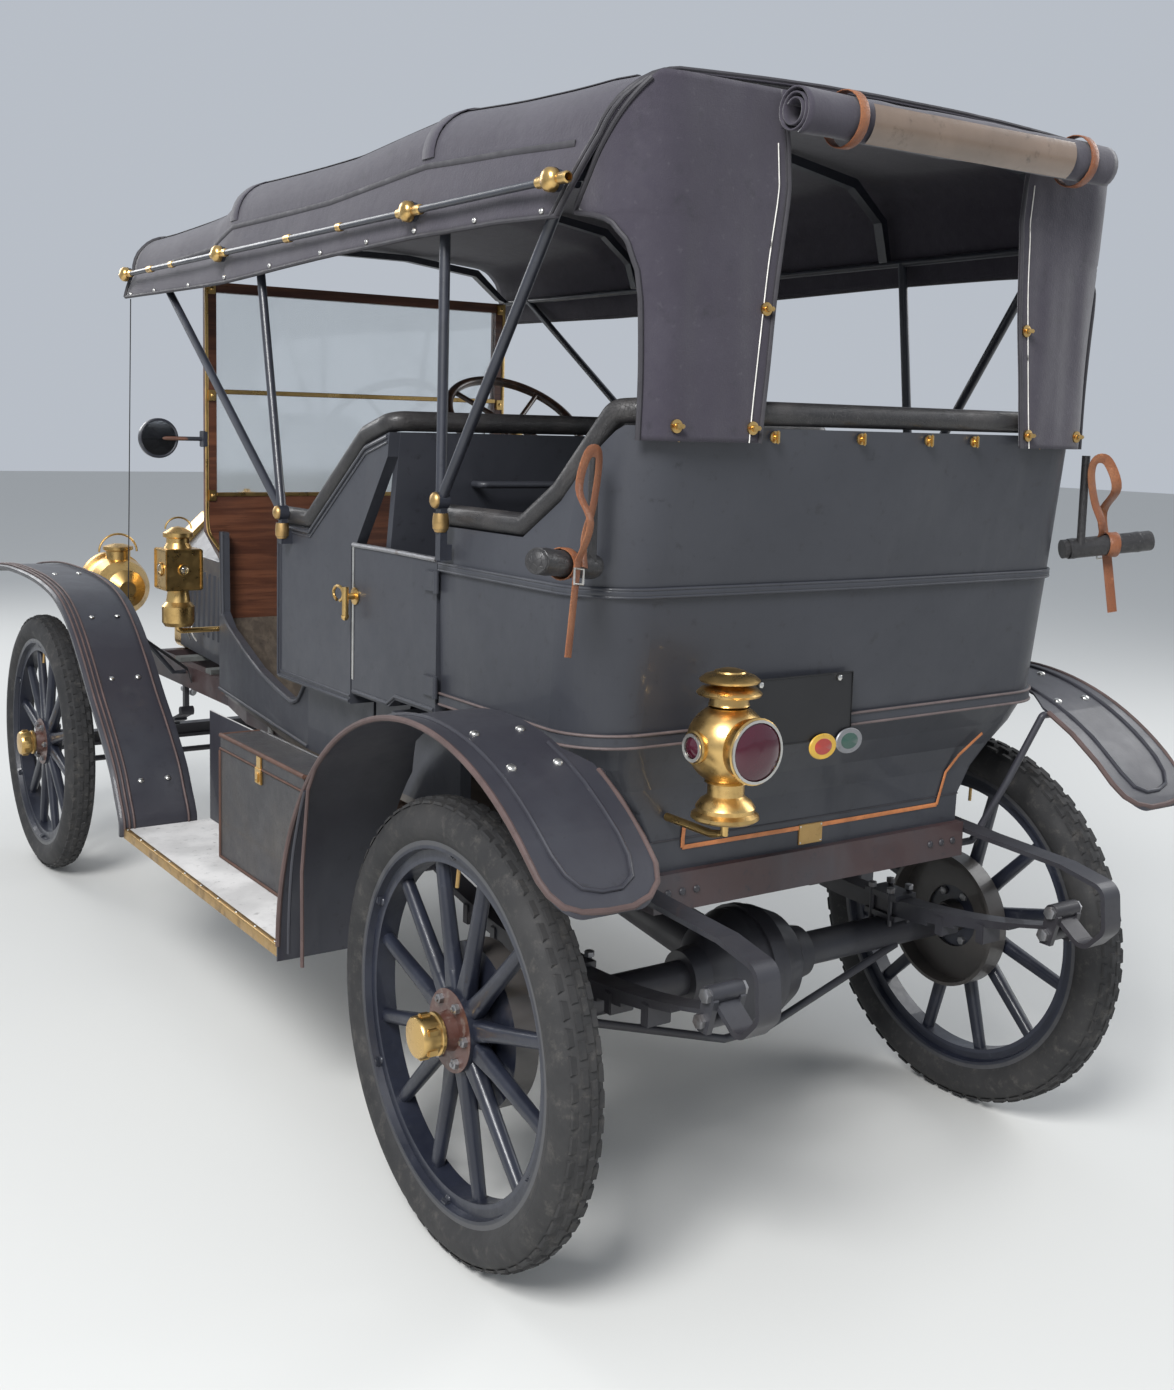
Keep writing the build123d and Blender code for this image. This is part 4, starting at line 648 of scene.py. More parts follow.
def edge_value(table, z):
    for (z0, a), (z1, b) in zip(table, table[1:]):
        if z0 <= z <= z1:
            return a + (b - a) * (z - z0) / (z1 - z0)
    return table[-1][1] if z > table[-1][0] else table[0][1]


def side_distance(y, z):
    """How far round the outline the side reaches station y."""
    low, high = 300.0, 1100.0
    for _ in range(24):
        mid = (low + high) / 2
        if quarter_point(mid, z).y < y:
            low = mid
        else:
            high = mid
    return low


def front_reach(z):
    """Distance round the outline of the quarter's front edge at a height."""
    station = edge_value(((1600, -359), (1734, -361), (1852, -363), (1901, -361), (1950, -350), (1985, -322),
                          (2000, -268), (2006, arch_y(2006))), z) if z < 2006 else arch_y(z)
    return side_distance(station, z)


REAR_EDGE = ((1600, 349), (2062, 305), (2140, 312), (2230, 330))


def make_quarters():
    for name, side in (("left", -1), ("right", 1)):
        heights = [1614 + (2228 - 1614) * k / 60 for k in range(61)]
        verts = []
        for z in heights:
            start, stop = edge_value(REAR_EDGE, z), front_reach(z)
            for k in range(33):
                point = quarter_point(start + (stop - start) * k / 32, z)
                verts.append(sided(point, side))
        cloth = piece(f"quarter_cloth_{name}", [(verts, grid_faces(61, 33))], CLOTH)
        thicken(cloth, 0.004)
        yield cloth
        edge, rear, stitch = [], [], []
        for k in range(70):
            z = 1614 + 600 * k / 69
            front = quarter_point(front_reach(z) - 3, z, 2)
            back = quarter_point(edge_value(REAR_EDGE, z) + 2, z, 2)
            sewn = quarter_point(edge_value(REAR_EDGE, z) + 26, z, 1.5)
            edge.append(sided(front, side))
            rear.append(sided(back, side))
            if z < 2140:
                stitch.append(sided(sewn, side))
        piece(f"quarter_piping_{name}", [tube(edge, 0.005, 8), tube(rear, 0.004, 8)], PIPING)
        dashes = [tube(stitch[k:k + 2], 0.0012, 5) for k in range(len(stitch) - 1)]
        piece(f"quarter_stitching_{name}", dashes, THREAD)
        buttons = []
        for z, inward in ((1640, 22), (1850, 20), (1640, 185)):
            point = quarter_point(edge_value(REAR_EDGE, z) + inward, z, 5)
            spot = sided(point, side)
            buttons.append(lathe(spot, (0, -1, 0), [(0, -4), (12, -4), (12, 0), (6, 1), (5, 8), (0, 8)], 16))
            buttons.append(bar(spot + Vector((-0.010, -0.012, -0.004)),
                    spot + Vector((0.010, -0.006, 0.004))))
        piece(f"quarter_buttons_{name}", buttons, BRASS)


ROLL_Y, ROLL_Z = -463, 2182


def make_rear_band():
    """Cloth between the arch and the rolled curtain, and the roll itself."""
    verts = []
    for row in range(9):
        z = 2228 - 66 * row / 8
        for k in range(41):
            s = -332 + 664 * k / 40
            point = quarter_point(abs(s), z, 0.5)
            verts.append(sided(point, 1 if s >= 0 else -1))
    band = piece("rear_band", [(verts, grid_faces(9, 41))], CLOTH)
    thicken(band, 0.004)
    yield band
    roll = []
    for k in range(61):
        x = -352 + 824 * k / 60
        wobble = 1 + 0.05 * noise(Vector((x / 90, 1.7, 0)))
        sag = 3 * noise(Vector((x / 200, 5.0, 0)))
        for step in range(60):
            turn = 2 * pi * 2.6 * step / 59
            radius = (20 + 24 * step / 59) * wobble + 0.9 * noise(Vector((x / 35, turn, 2)))
            roll.append(at(x, ROLL_Y + radius * cos(turn + 0.6), ROLL_Z + sag + radius * sin(turn + 0.6)))
    curtain = piece("rolled_curtain", [(roll, grid_faces(61, 60))], CLOTH)
    thicken(curtain, 0.003)
    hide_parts("rear_curtain")
    straps = []
    for x in (-230, 390):
        loop = []
        for k in range(25):
            turn = 2 * pi * k / 24
            loop.append(at(x, ROLL_Y + 49 * cos(turn), ROLL_Z + 49 * sin(turn)))
        straps.append(strip(loop, 0.022, 0.003, Vector((1, 0, 0))))
    piece("curtain_straps", straps, STRAP)
    verts = []
    for k in range(25):
        x = -205 + 540 * k / 24
        for j in range(11):
            turn = radians(150 + 9 * j)
            verts.append(at(x, ROLL_Y + 48.5 * cos(turn), ROLL_Z + 48.5 * sin(turn)))
    piece("curtain_window", [(verts, grid_faces(25, 11))], CELLULOID)


def make_soft_top():
    make_top()
    covers = list(make_quarters()) + list(make_rear_band())
    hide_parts("rear_quarters")


# Tyres and wheel fittings
def ring_block(centre, angle, reach, half_turn, half_width, low, high):
    """One tread block on the tyre's round, rounded off towards its top."""
    verts = []
    for radius, shrink in ((low, 1.0), (high, 0.80)):
        for turn, across in ((-1, -1), (1, -1), (1, 1), (-1, 1)):
            a = angle + turn * half_turn * shrink
            verts.append(centre + Vector((reach + across * half_width * shrink, radius * sin(a),
                    radius * cos(a))))
    return verts, [(0, 1, 5, 4), (1, 2, 6, 5), (2, 3, 7, 6), (3, 0, 4, 7), (4, 5, 6, 7)]


def make_tyre(corner, side, y):
    centre = at(side * TRACK_X, y, AXLE_Z)
    profile = []
    for k in range(29):
        a = radians(-142 + 284 * k / 28)
        profile.append(((405.5 + 48.5 * cos(a)) / 1000, 0.050 * sin(a)))
    shapes = [turned(centre, (1, 0, 0), profile, 88)]
    for reach in (-47, 47):
        shapes.append(turned(centre, (1, 0, 0), [((397 + dr) / 1000, (reach + dx) / 1000)
                                                 for dr, dx in ((-3, -1), (0, 2.5 * side), (3, -1))], 88))
    for row, reach in enumerate((-27, -9, 9, 27)):
        crown = 405.5 + sqrt(48.5 ** 2 - reach ** 2 * 0.94)
        for k in range(60):
            angle = 2 * pi * (k + 0.5 * (row % 2)) / 60
            shapes.append(ring_block(centre, angle, reach / 1000, 0.040, 0.0070, (crown - 2) / 1000,
                                     min(crown + 3.4, 457.2) / 1000))
    tyre = piece(f"tread_{corner}", shapes, RUBBER, f"wheel_{corner}")
    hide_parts(f"tyre_{corner}")


def make_wheel_fittings(corner, side, y):
    centre = at(side * TRACK_X, y, AXLE_Z)
    out = Vector((side, 0, 0))
    nuts, bolts, cap = [], [], []
    for k in range(6):
        a = 2 * pi * (k + 0.5) / 6
        spoke = Vector((0, sin(a), cos(a)))
        nuts.append(nut(centre + out * 0.026 + spoke * 0.064, out, 0.0105, 0.009))
        nuts.append(lathe(centre + out * 0.034 + spoke * 0.064, out, [(0, 0), (5, 0), (5, 6), (0, 7)], 8))
        nuts.append(nut(centre - out * 0.026 + spoke * 0.064, -out, 0.0105, 0.008))
    for k in range(6):
        a = 2 * pi * k / 6
        spoke = Vector((0, sin(a), cos(a)))
        bolts.append(dome(centre + out * 0.022 + spoke * 0.349, out, 0.009, 0.005))
        bolts.append(bar(centre - Vector((0.008, 0.012, 0.010)) + spoke * 0.358 + out * 0.026,
                         centre + Vector((0.008, 0.012, 0.010)) + spoke * 0.358 + out * 0.026, 0.003))
    cap.append(lathe(centre, out, [(40.5, 52), (42.5, 54), (42.5, 60), (38.5, 63), (38.5, 67), (41.5, 69),
            (41.5, 96), (38.5, 101), (20, 103.5), (0, 104)], 36))
    for k in range(6):
        a = 2 * pi * k / 6
        cap.append(bar(centre + out * 0.082 + Vector((-0.011, 0.0395 * sin(a) - 0.007,
                0.0395 * cos(a) - 0.007)), centre + out * 0.082 + Vector((0.011, 0.0395 * sin(a) + 0.007,
                0.0395 * cos(a) + 0.007)), 0.002))
    piece(f"hub_nuts_{corner}", nuts, STEEL, f"wheel_{corner}")
    piece(f"rim_bolts_{corner}", bolts, IRON, f"wheel_{corner}")
    piece(f"hub_cap_{corner}", cap, BRASS, f"wheel_{corner}")
    stem = [centre + out * 0.01 + Vector((0, 0.0, 0.325)), centre + out * 0.012 + Vector((0, 0.003, 0.285))]
    piece(f"valve_{corner}", [tube(stem, 0.004, 8)], OLD_BRASS, f"wheel_{corner}")


# Beads and trim of the body
def around(half, back, bow, corner, z, front=246, inset=0.0):
    """Points round the tub at one height, from its front left to its front right."""
    reach = half - corner + corner * pi / 2 + front - (back + bow * (half - corner) / half + corner)
    points = []
    for k in range(121):
        s = -reach + 2 * reach * k / 120
        x, y, turn = tub_point(half, back, bow, corner, abs(s))
        x += inset * sin(turn)
        y -= inset * cos(turn)
        points.append(at(x if s > 0 else -x, y, z))
    return points


def make_tub_trim():
    beads = [tube(around(641, -345, 20, 135, 1335), 0.0030, 8), tube(around(641, -345, 20, 135, 1349),
            0.0030, 8)]
    rim = strip(around(641, -345, 20, 135, 1342, inset=0.5), 0.010, 0.003, Vector((0, 0, 1)))
    piece("waist_bead", beads + [rim], PAINT)
    lip = [tube(around(636, -314, 20, 130, 1078, inset=0.5), 0.0028, 8),
           tube(around(636, -314, 20, 130, 1055, inset=0.5), 0.0028, 8)]
    piece("lip_edge", lip, LIP_WEAR)
    seam = [at(-424 + 848 * k / 20, -224.6 + 3 * abs(-1 + k / 10), 845) for k in range(21)]
    piece("panel_line", [tube(seam, 0.0016, 6)], PIPING)
    line = [at(x, -225.6 + 0.007 * abs(x), 827) for x in (-350, -200, 0, 200, 357)]
    up_left = path((-350, -223.6, 827), (-350, -224.0, 848), (-350, -226.5, 868))
    up_right = path((357, -223.4, 827), (375, -228.6, 899), (402, -240.5, 938), (448, -262, 986))
    stripe = [strip(line, 0.009, 0.0012, Vector((0, 0, 1))), strip(up_left, 0.009, 0.0012, Vector((1, 0, 0))),
              strip(up_right, 0.008, 0.0012, Vector((1, 0, 0)))]
    piece("copper_pinstripe", stripe, COPPER_LINE)
    plate = [bar(at(-50, -227, 791), at(15, -223, 833), 0.001)]
    piece("blank_brass_plate", plate, OLD_BRASS)
    rivets = [dome(at(x, -227, z), (0, -1, 0), 0.0022, 0.0015, 8) for x in (-46, 11) for z in (795, 829)]
    frame_rivets = [dome(at(x, -240, 745), (0, -1, 0), 0.008, 0.005)
                    for x in (-395, -360, -325, 325, 360, 395)]
    piece("plate_rivets", rivets, NICKEL)
    piece("frame_rivets", frame_rivets, CHASSIS_PAINT)
    buttons = []
    for x in (-520, -300, -91, 90, 224, 420):
        y = -396 + 20 * abs(x) / 611 - 2
        buttons.append(lathe(at(x, y, 1625), (0, -1, 0), [(11, 0), (11, 3), (5, 4), (5, 10), (0, 11)], 16))
        buttons.append(bar(at(x - 4, y - 13, 1613), at(x + 4, y - 8, 1637)))
    piece("rail_turn_buttons", buttons, BRASS)


def seat_side_edge(side, inset, x):
    outline = ((668, 985), (1094, 985), (1094, 1350), (1070, 1374), (900, 1374), (755, 1474), (598, 1582),
            (486, 1610))
    moves = ((0, 1), (-1, 1), (-1, 0), (-0.7, -0.7), (-0.3, -1), (-0.3, -1), (-0.3, -1), (0, -1))
    return [at(side * x, y + inset * dy, z + inset * dz) for (y, z), (dy, dz) in zip(outline, moves)]


def make_body_sides():
    for name, side in SIDES:
        beads = [tube(seat_side_edge(side, 7, 641), 0.0045, 8), tube(seat_side_edge(side, 19, 640.5),
                0.0028, 8)]
        start, run = Vector((-580, 1040.5)), Vector((102, 903.5)).normalized()
        entrance = []
        for u, z in ((0, 985), (62, 926), (100, 905), (178, 898), (465, 931), (760, 1000), (845, 1036),
                (858, 1060), (866, 1290)):
            spot = start + run * u
            entrance.append(at(side * -spot.x + side * 2, spot.y, z + 3))
        beads.append(tube(smooth_path(entrance, 5), 0.006, 8))
        foot = []
        for u in (0, 300, 600, 908):
            spot = start + run * u
            foot.append(at(side * -spot.x + side * 2, spot.y, 808))
        beads.append(tube(foot, 0.004, 8))
        piece(f"side_beads_{name}", beads, PAINT)
        body = f"door_{name}"
        rim = path(*[(side * 640, y, z) for y, z in ((258, 1355), (400, 1356), (530, 1356), (655, 1355))])
        piece(f"door_top_{name}", [tube(rim, 0.0055, 8)], STEEL, body)
        edge = path((641, 653, 1045), (641, 653, 1200), (641, 653, 1350), side=side)
        piece(f"door_edge_{name}", [strip(edge, 0.010, 0.0016, Vector((0, 1, 0)))], NICKEL, body)
        low = path((641, 262, 1040), (641, 438, 1040), (641, 474, 1019), (641, 650, 1019), side=side)
        piece(f"door_bead_{name}", [tube(low, 0.004, 8)], PAINT, body)
        spot = at(side * 641, 640, 1239)
        out = Vector((side, 0, 0))
        handle = [lathe(spot, out, [(0, 0), (20, 0), (20, 3), (8, 5), (7, 26), (0, 26)], 20),
                tube([spot + out * 0.026 + Vector((0, -0.002, z)) for z in (-0.045, -0.02, 0, 0.015,
                0.022)], 0.0075, 12), dome(spot + out * 0.026 + Vector((0, -0.002, -0.045)), (0, 0, -1),
                0.009, 0.010)]
        loop = []
        for k in range(17):
            a = radians(-70 + 320 * k / 16)
            loop.append(spot + out * 0.030 + Vector((0, 0.026 + 0.026 * cos(a + pi), 0.005 + 0.017 * sin(a))))
        handle.append(tube(loop, 0.0038, 8))
        piece(f"door_handle_{name}", handle, BRASS, body)


# Wings: beads, edge rolls and rivets
def wing_point(x, degrees_round, proud=0.0):
    a = radians(degrees_round)
    radius = 632 + proud
    return at(x, -40 + radius * cos(a), 455 + radius * sin(a))


def make_rear_wing_trim():
    shapes, rolls, rivets = [], [], []
    for _, side in SIDES:
        bead = [wing_point(side * 806, 12 + 3 * k, 1) for k in range(39)]
        bead += [wing_point(side * x, d, 1) for x, d in ((804, 131), (795, 134.5), (775, 137), (740, 138),
                (700, 138), (672, 136.5), (660, 133), (658, 129))]
        bead += [wing_point(side * 660, d, 1) for d in (124, 118, 112, 106)]
        shapes.append(tube(bead, 0.0045, 8))
        roll = [wing_point(side * 848, 1 + 3 * k, -2) for k in range(44)]
        roll += [wing_point(side * x, d, -2) for x, d in ((846, 134.5), (838, 137), (820, 139.3),
                (790, 140.6), (740, 141.1), (690, 141.1), (650, 140), (625, 138), (613, 135), (612, 130),
                (612, 122), (612, 115))]
        rolls.append(tube(roll, 0.0060, 8))
        middle = ((522, 470), (519, 560), (503, 680), (469, 784), (437, 853))
        shapes.append(tube(smooth_path([at(side * 851, y, z) for y, z in middle], 4), 0.004, 8))
        inner = ((455, 460), (455, 520), (458, 670), (439, 784), (427, 859), (381, 925), (316, 976),
                (237, 1023), (176, 1046))
        rolls.append(tube([at(side * 848, y, z) for y, z in inner], 0.0045, 8))
        for x, degrees_round in ((679, 99.8), (776, 112), (679, 112), (776, 99.8)):
            spot = wing_point(side * x, degrees_round, 0)
            rivets.append(dome(spot, (0, cos(radians(degrees_round)), sin(radians(degrees_round))), 0.010,
                    0.006))
    piece("rear_wing_beads", shapes, WING_PAINT)
    piece("rear_wing_rolls", rolls, WING_EDGE)
    piece("rear_wing_rivets", rivets, NICKEL)


WING_LINE = ((1740, 434), (1742, 480), (1782, 545), (1829, 615), (1922, 705), (2022, 789), (2124, 884),
        (2227, 968), (2325, 1026), (2429, 1063), (2560, 1084), (2701, 1095), (2870, 1099), (3045, 1097),
        (3220, 1084), (3400, 1062), (3490, 1036))


def front_wing_line(x, proud=0.0, steps=4):
    line = smooth_path([Vector((x, y, z)) for y, z in WING_LINE], steps)
    moved = []
    for k, point in enumerate(line):
        along = (line[min(k + 1, len(line) - 1)] - line[max(k - 1, 0)]).normalized()
        moved.append(point + Vector((0, -along.z, along.y)) * proud)
    return [at(*point) for point in moved]


def make_front_wings():
    for name, side in SIDES:
        columns = ((850, -14), (850, -3), (846, 0), (836, 3), (800, 2.5), (740, 1.5), (680, 0), (632, -1),
                (622, -4), (620, -16))
        verts = []
        lines = [front_wing_line(side * x, proud) for x, proud in columns]
        for k in range(len(lines[0])):
            verts += [line[k] for line in lines]
        sheet = piece(f"front_wing_{name}", [(verts, grid_faces(len(lines[0]), len(columns)))], WING_PAINT)
        thicken(sheet, 0.003)
        beads = [tube(front_wing_line(side * x, 5), 0.0035, 8) for x in (838, 824, 810, 650)]
        piece(f"front_wing_beads_{name}", beads, WING_EDGE)
        rivets = []
        for k in (10, 22, 30, 44):
            for x in (770, 690):
                rivets.append(dome(front_wing_line(side * x, 2)[k], (0, -0.6, 0.8) if k < 30 else (0, 0, 1),
                        0.009, 0.005))
        piece(f"front_wing_rivets_{name}", rivets, NICKEL)
        irons = []
        for y, under in ((2560, 1072), (3300, 1069)):
            irons.append(tube(path((372, y, 760), (414, y, 760), (616, y, under - 66), (660, y, under - 2),
                    (830, y, under - 2), side=side), 0.008, 10))
        piece(f"front_wing_irons_{name}", irons, IRON)
        if side < 0:
            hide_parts("front_wings")


# Boards and toolbox
def make_boards():
    for name, side in SIDES:
        edges = []
        outer = path((839, 592, 444), (839, 1160, 444), (839, 1736, 444), side=side)
        edges.append(strip(outer, 0.026, 0.003, Vector((0, 0, 1))))
        edges.append(strip(path((833, 592, 458), (833, 1736, 458), side=side), 0.014, 0.002,
                Vector((1, 0, 0))))
        piece(f"board_edge_{name}", edges, OLD_BRASS)
        screws = [dome(at(side * 833, y, 459), (0, 0, 1), 0.004, 0.002, 8) for y in range(640, 1736, 120)]
        piece(f"board_screws_{name}", screws, NICKEL)
        # Painted shade: a dark upright sheet along the inner edge of the board stands in for the body's
        # shadow on the board, not for a real part
        piece(f"board_painted_shade_sheet_{name}", [bar(at(side * 585 - 1, 594, 459), at(side * 585 + 1, 1734, 782),
                0)], WING_PAINT)
    trims = []
    x0, x1, y0, y1 = -701, -586, 789, 1341
    for y in (y0, y1):
        trims.append(tube(path((x0, y, 460), (x0, y, 752)), 0.004, 8))
    trims.append(tube(path((x0, y0, 461), (x0, y1, 461)), 0.004, 8))
    piece("toolbox_edges", trims, BOX_EDGE)
    lid = [tube(path((x0 + 2, y0, 793), (x0 + 2, y1, 793)), 0.006, 10), tube(path((x0, y0, 757),
            (x0, y1, 757)), 0.003, 8)]
    for y in (y0, y1):
        lid.append(tube(path((x0 + 2, y, 793), (x1 - 4, y, 793)), 0.0045, 8))
    piece("toolbox_lid_edges", lid, BOX_EDGE, "toolbox_lid")
    hasp = [bar(at(-706, 1045, 718), at(-700, 1085, 760)), bar(at(-710, 1055, 724), at(-704, 1075, 748))]
    hasp.append(dome(at(-706, 1065, 728), (-1, 0, 0), 0.007, 0.006))
    piece("toolbox_hasp", hasp, BRASS)
    piece("toolbox_strap", [bar(at(-704, 1050, 757), at(-699, 1080, 790))], BRASS, "toolbox_lid")


# Lamps
def make_tail_lamp():
    centre = at(-397, -405, 1072)
    ball = [(0.076 * cos(radians(a)), 0.076 * sin(radians(a))) for a in range(-64, 68, 6)]
    stand = [(0, -140), (58, -140), (63, -136), (62, -130), (54, -124), (55, -116), (47, -104), (38, -98),
            (34, -94), (34, -72), (40, -70), (36, -66)]
    chimney = [(33, 68), (38, 72), (36, 76), (36, 94), (58, 90), (60, 94), (52, 102), (36, 106), (28, 110),
            (28, 118), (54, 114), (56, 118), (46, 126), (30, 131), (28, 134), (14, 138), (0, 138.5)]
    shapes = [turned(centre, (0, 0, 1), ball, 36), lathe(centre, (0, 0, 1), stand, 36),
              lathe(centre, (0, 0, 1), chimney, 36)]
    shapes.append(lathe(centre, (0, -1, 0), [(52, 45), (56, 58), (60, 72), (61, 80), (55, 83)], 36))
    shapes.append(lathe(centre, (-1, 0, 0), [(26, 66), (30, 72), (31, 78), (27, 80)], 30))
    shapes.append(tube(path((-397, -405, 940), (-397, -405, 905), (-397, -370, 896), (-397, -232, 896)),
            0.008, 12))
    handle = []
    for k in range(15):
        a = pi * k / 14
        handle.append(centre + Vector((0.070 * cos(a) * 0.5 + 0.035, 0.040 + 0.052 * sin(a),
                0.055 + 0.02 * cos(a))))
    shapes.append(tube(handle, 0.0025, 8))
    lamp = piece("tail_lamp_body", shapes, BRASS)
    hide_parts("tail_lamp")
    lens = [lathe(centre, (0, -1, 0), [(55, 81), (45, 87), (26, 91), (0, 92.5)], 32)]
    piece("tail_lamp_lens", lens, RUBY)
    bezel = [lathe(centre, (0, -1, 0), [(54, 80), (58, 81), (58, 85), (53, 85)], 32),
             lathe(centre, (-1, 0, 0), [(21, 79), (26, 79), (26, 84), (20, 84)], 24)]
    piece("tail_lamp_bezels", bezel, NICKEL)
    piece("tail_lamp_side_lens", [lathe(centre, (-1, 0, 0), [(21, 80), (12, 85), (0, 86.5)], 24)], RUBY)
    shine = [lathe(at(-357, -349, 1000), (0, -1, 0), [(0, 0), (12, 0), (10, 3), (0, 4)], 16)]
    piece("tail_lamp_bracket_disc", shine, NICKEL)


def make_front_lamps():
    for name, side in SIDES:
        x = side * 602
        frames, glasses = [], []
        for z in (1122, 1238):
            frames.append(bar(at(x - 55, 1898, z - 4), at(x + 55, 2004, z + 4)))
        for dx in (-53, 53):
            for y in (1900, 2002):
                frames.append(bar(at(x + dx - 4, y - 4, 1120), at(x + dx + 4, y + 4, 1240)))
        for out in (-1, 1):
            face = at(x + out * 53.5, 1951, 1180)
            frames.append(lathe(face, (out, 0, 0), [(18, 0), (21, 1), (20, 6), (16, 6)], 20))
            glasses.append(lathe(face, (out, 0, 0), [(16, 4), (10, 9), (0, 11)], 20))
        front = at(x, 2002, 1180)
        frames.append(lathe(front, (0, 1, 0), [(44, 0), (50, 1), (50, 4), (44, 6)], 28))
        glasses.append(lathe(front, (0, 1, 0), [(44, 2), (30, 5), (0, 6)], 28))
        rear = at(x, 1899.5, 1180)
        frames.append(lathe(rear, (0, -1, 0), [(16, 0), (19, 1), (18, 6), (13, 6)], 20))
        glasses.append(lathe(rear, (0, -1, 0), [(14, 3), (8, 9), (0, 11)], 20))
        bail = [at(x + 40 * cos(a), 1951, 1300 + 34 * sin(a)) for a in [pi * k / 14 for k in range(15)]]
        frames.append(tube(bail, 0.0028, 8))
        piece(f"side_lamp_frames_{name}", frames, BRASS)
        piece(f"side_lamp_glass_{name}", glasses, LENS)
        x = side * 430
        face = at(x, 3200, 1000)
        rims = [lathe(face, (0, 1, 0), [(112, -8), (124, -6), (126, 2), (118, 8), (110, 6)], 44)]
        bail = [at(x + 70 * cos(a), 3120, 1130 + 66 * sin(a)) for a in [pi * k / 16 for k in range(17)]]
        rims.append(tube(bail, 0.004, 8))
        piece(f"headlamp_rim_{name}", rims, BRASS)
        piece(f"headlamp_glass_{name}", [lathe(face, (0, 1, 0), [(110, 0), (90, 6), (50, 10), (0, 12)], 44)],
              LENS)
    spot = at(-650, 1985, 1569)
    shell = [lathe(spot, (0, -1, 0), [(0, -12.5), (30, -12), (54, -9.5), (59.2, -4), (59.2, 8), (55, 10),
            (51.5, 8.5)], 40), tube(path((-604, 1974, 1569), (-560, 1960, 1569), (-514, 1960, 1569)),
            0.0066, 10), bar(at(-526, 1940, 1545), at(-512, 1978, 1593))]
    piece("mirror_shell", shell, IRON)
    piece("mirror_face", [lathe(spot, (0, -1, 0), [(52.5, 8.5), (0, 9.2)], 40)], MIRROR)


def make_number_plate():
    edge = path((-304, -331.5, 1036), (-304, -331.5, 1167), (-21, -331.5, 1167), (-21, -331.5, 1036),
            (-304, -331.5, 1036))
    piece("plate_edge", [tube(edge, 0.0018, 6)], PLATE)
    bolts = [nut(at(x, -332, 1158), (0, -1, 0), 0.006, 0.005) for x in (-262, -60)]
    piece("plate_bolts", bolts, NICKEL)
    for name, x, z, rim, field in (("left", -98, 1024, BADGE_YELLOW, BADGE_RED),
            ("right", -28, 1029, STEEL, BADGE_GREEN)):
        centre = at(x, -334, z)
        rim_shape = [lathe(centre, (0, -1, 0), [(0, 0), (35, 0), (36, 2), (34, 4), (22, 4), (21, 3)], 36)]
        field_shape = [lathe(centre, (0, -1, 0), [(24, 3), (22, 4.5), (0, 5)], 36)]
        for verts, _ in rim_shape + field_shape:
            for vert in verts:
                vert.z = centre.z + (vert.z - centre.z) * 0.72
        piece(f"badge_rim_{name}", rim_shape, rim)
        piece(f"badge_field_{name}", field_shape, field)


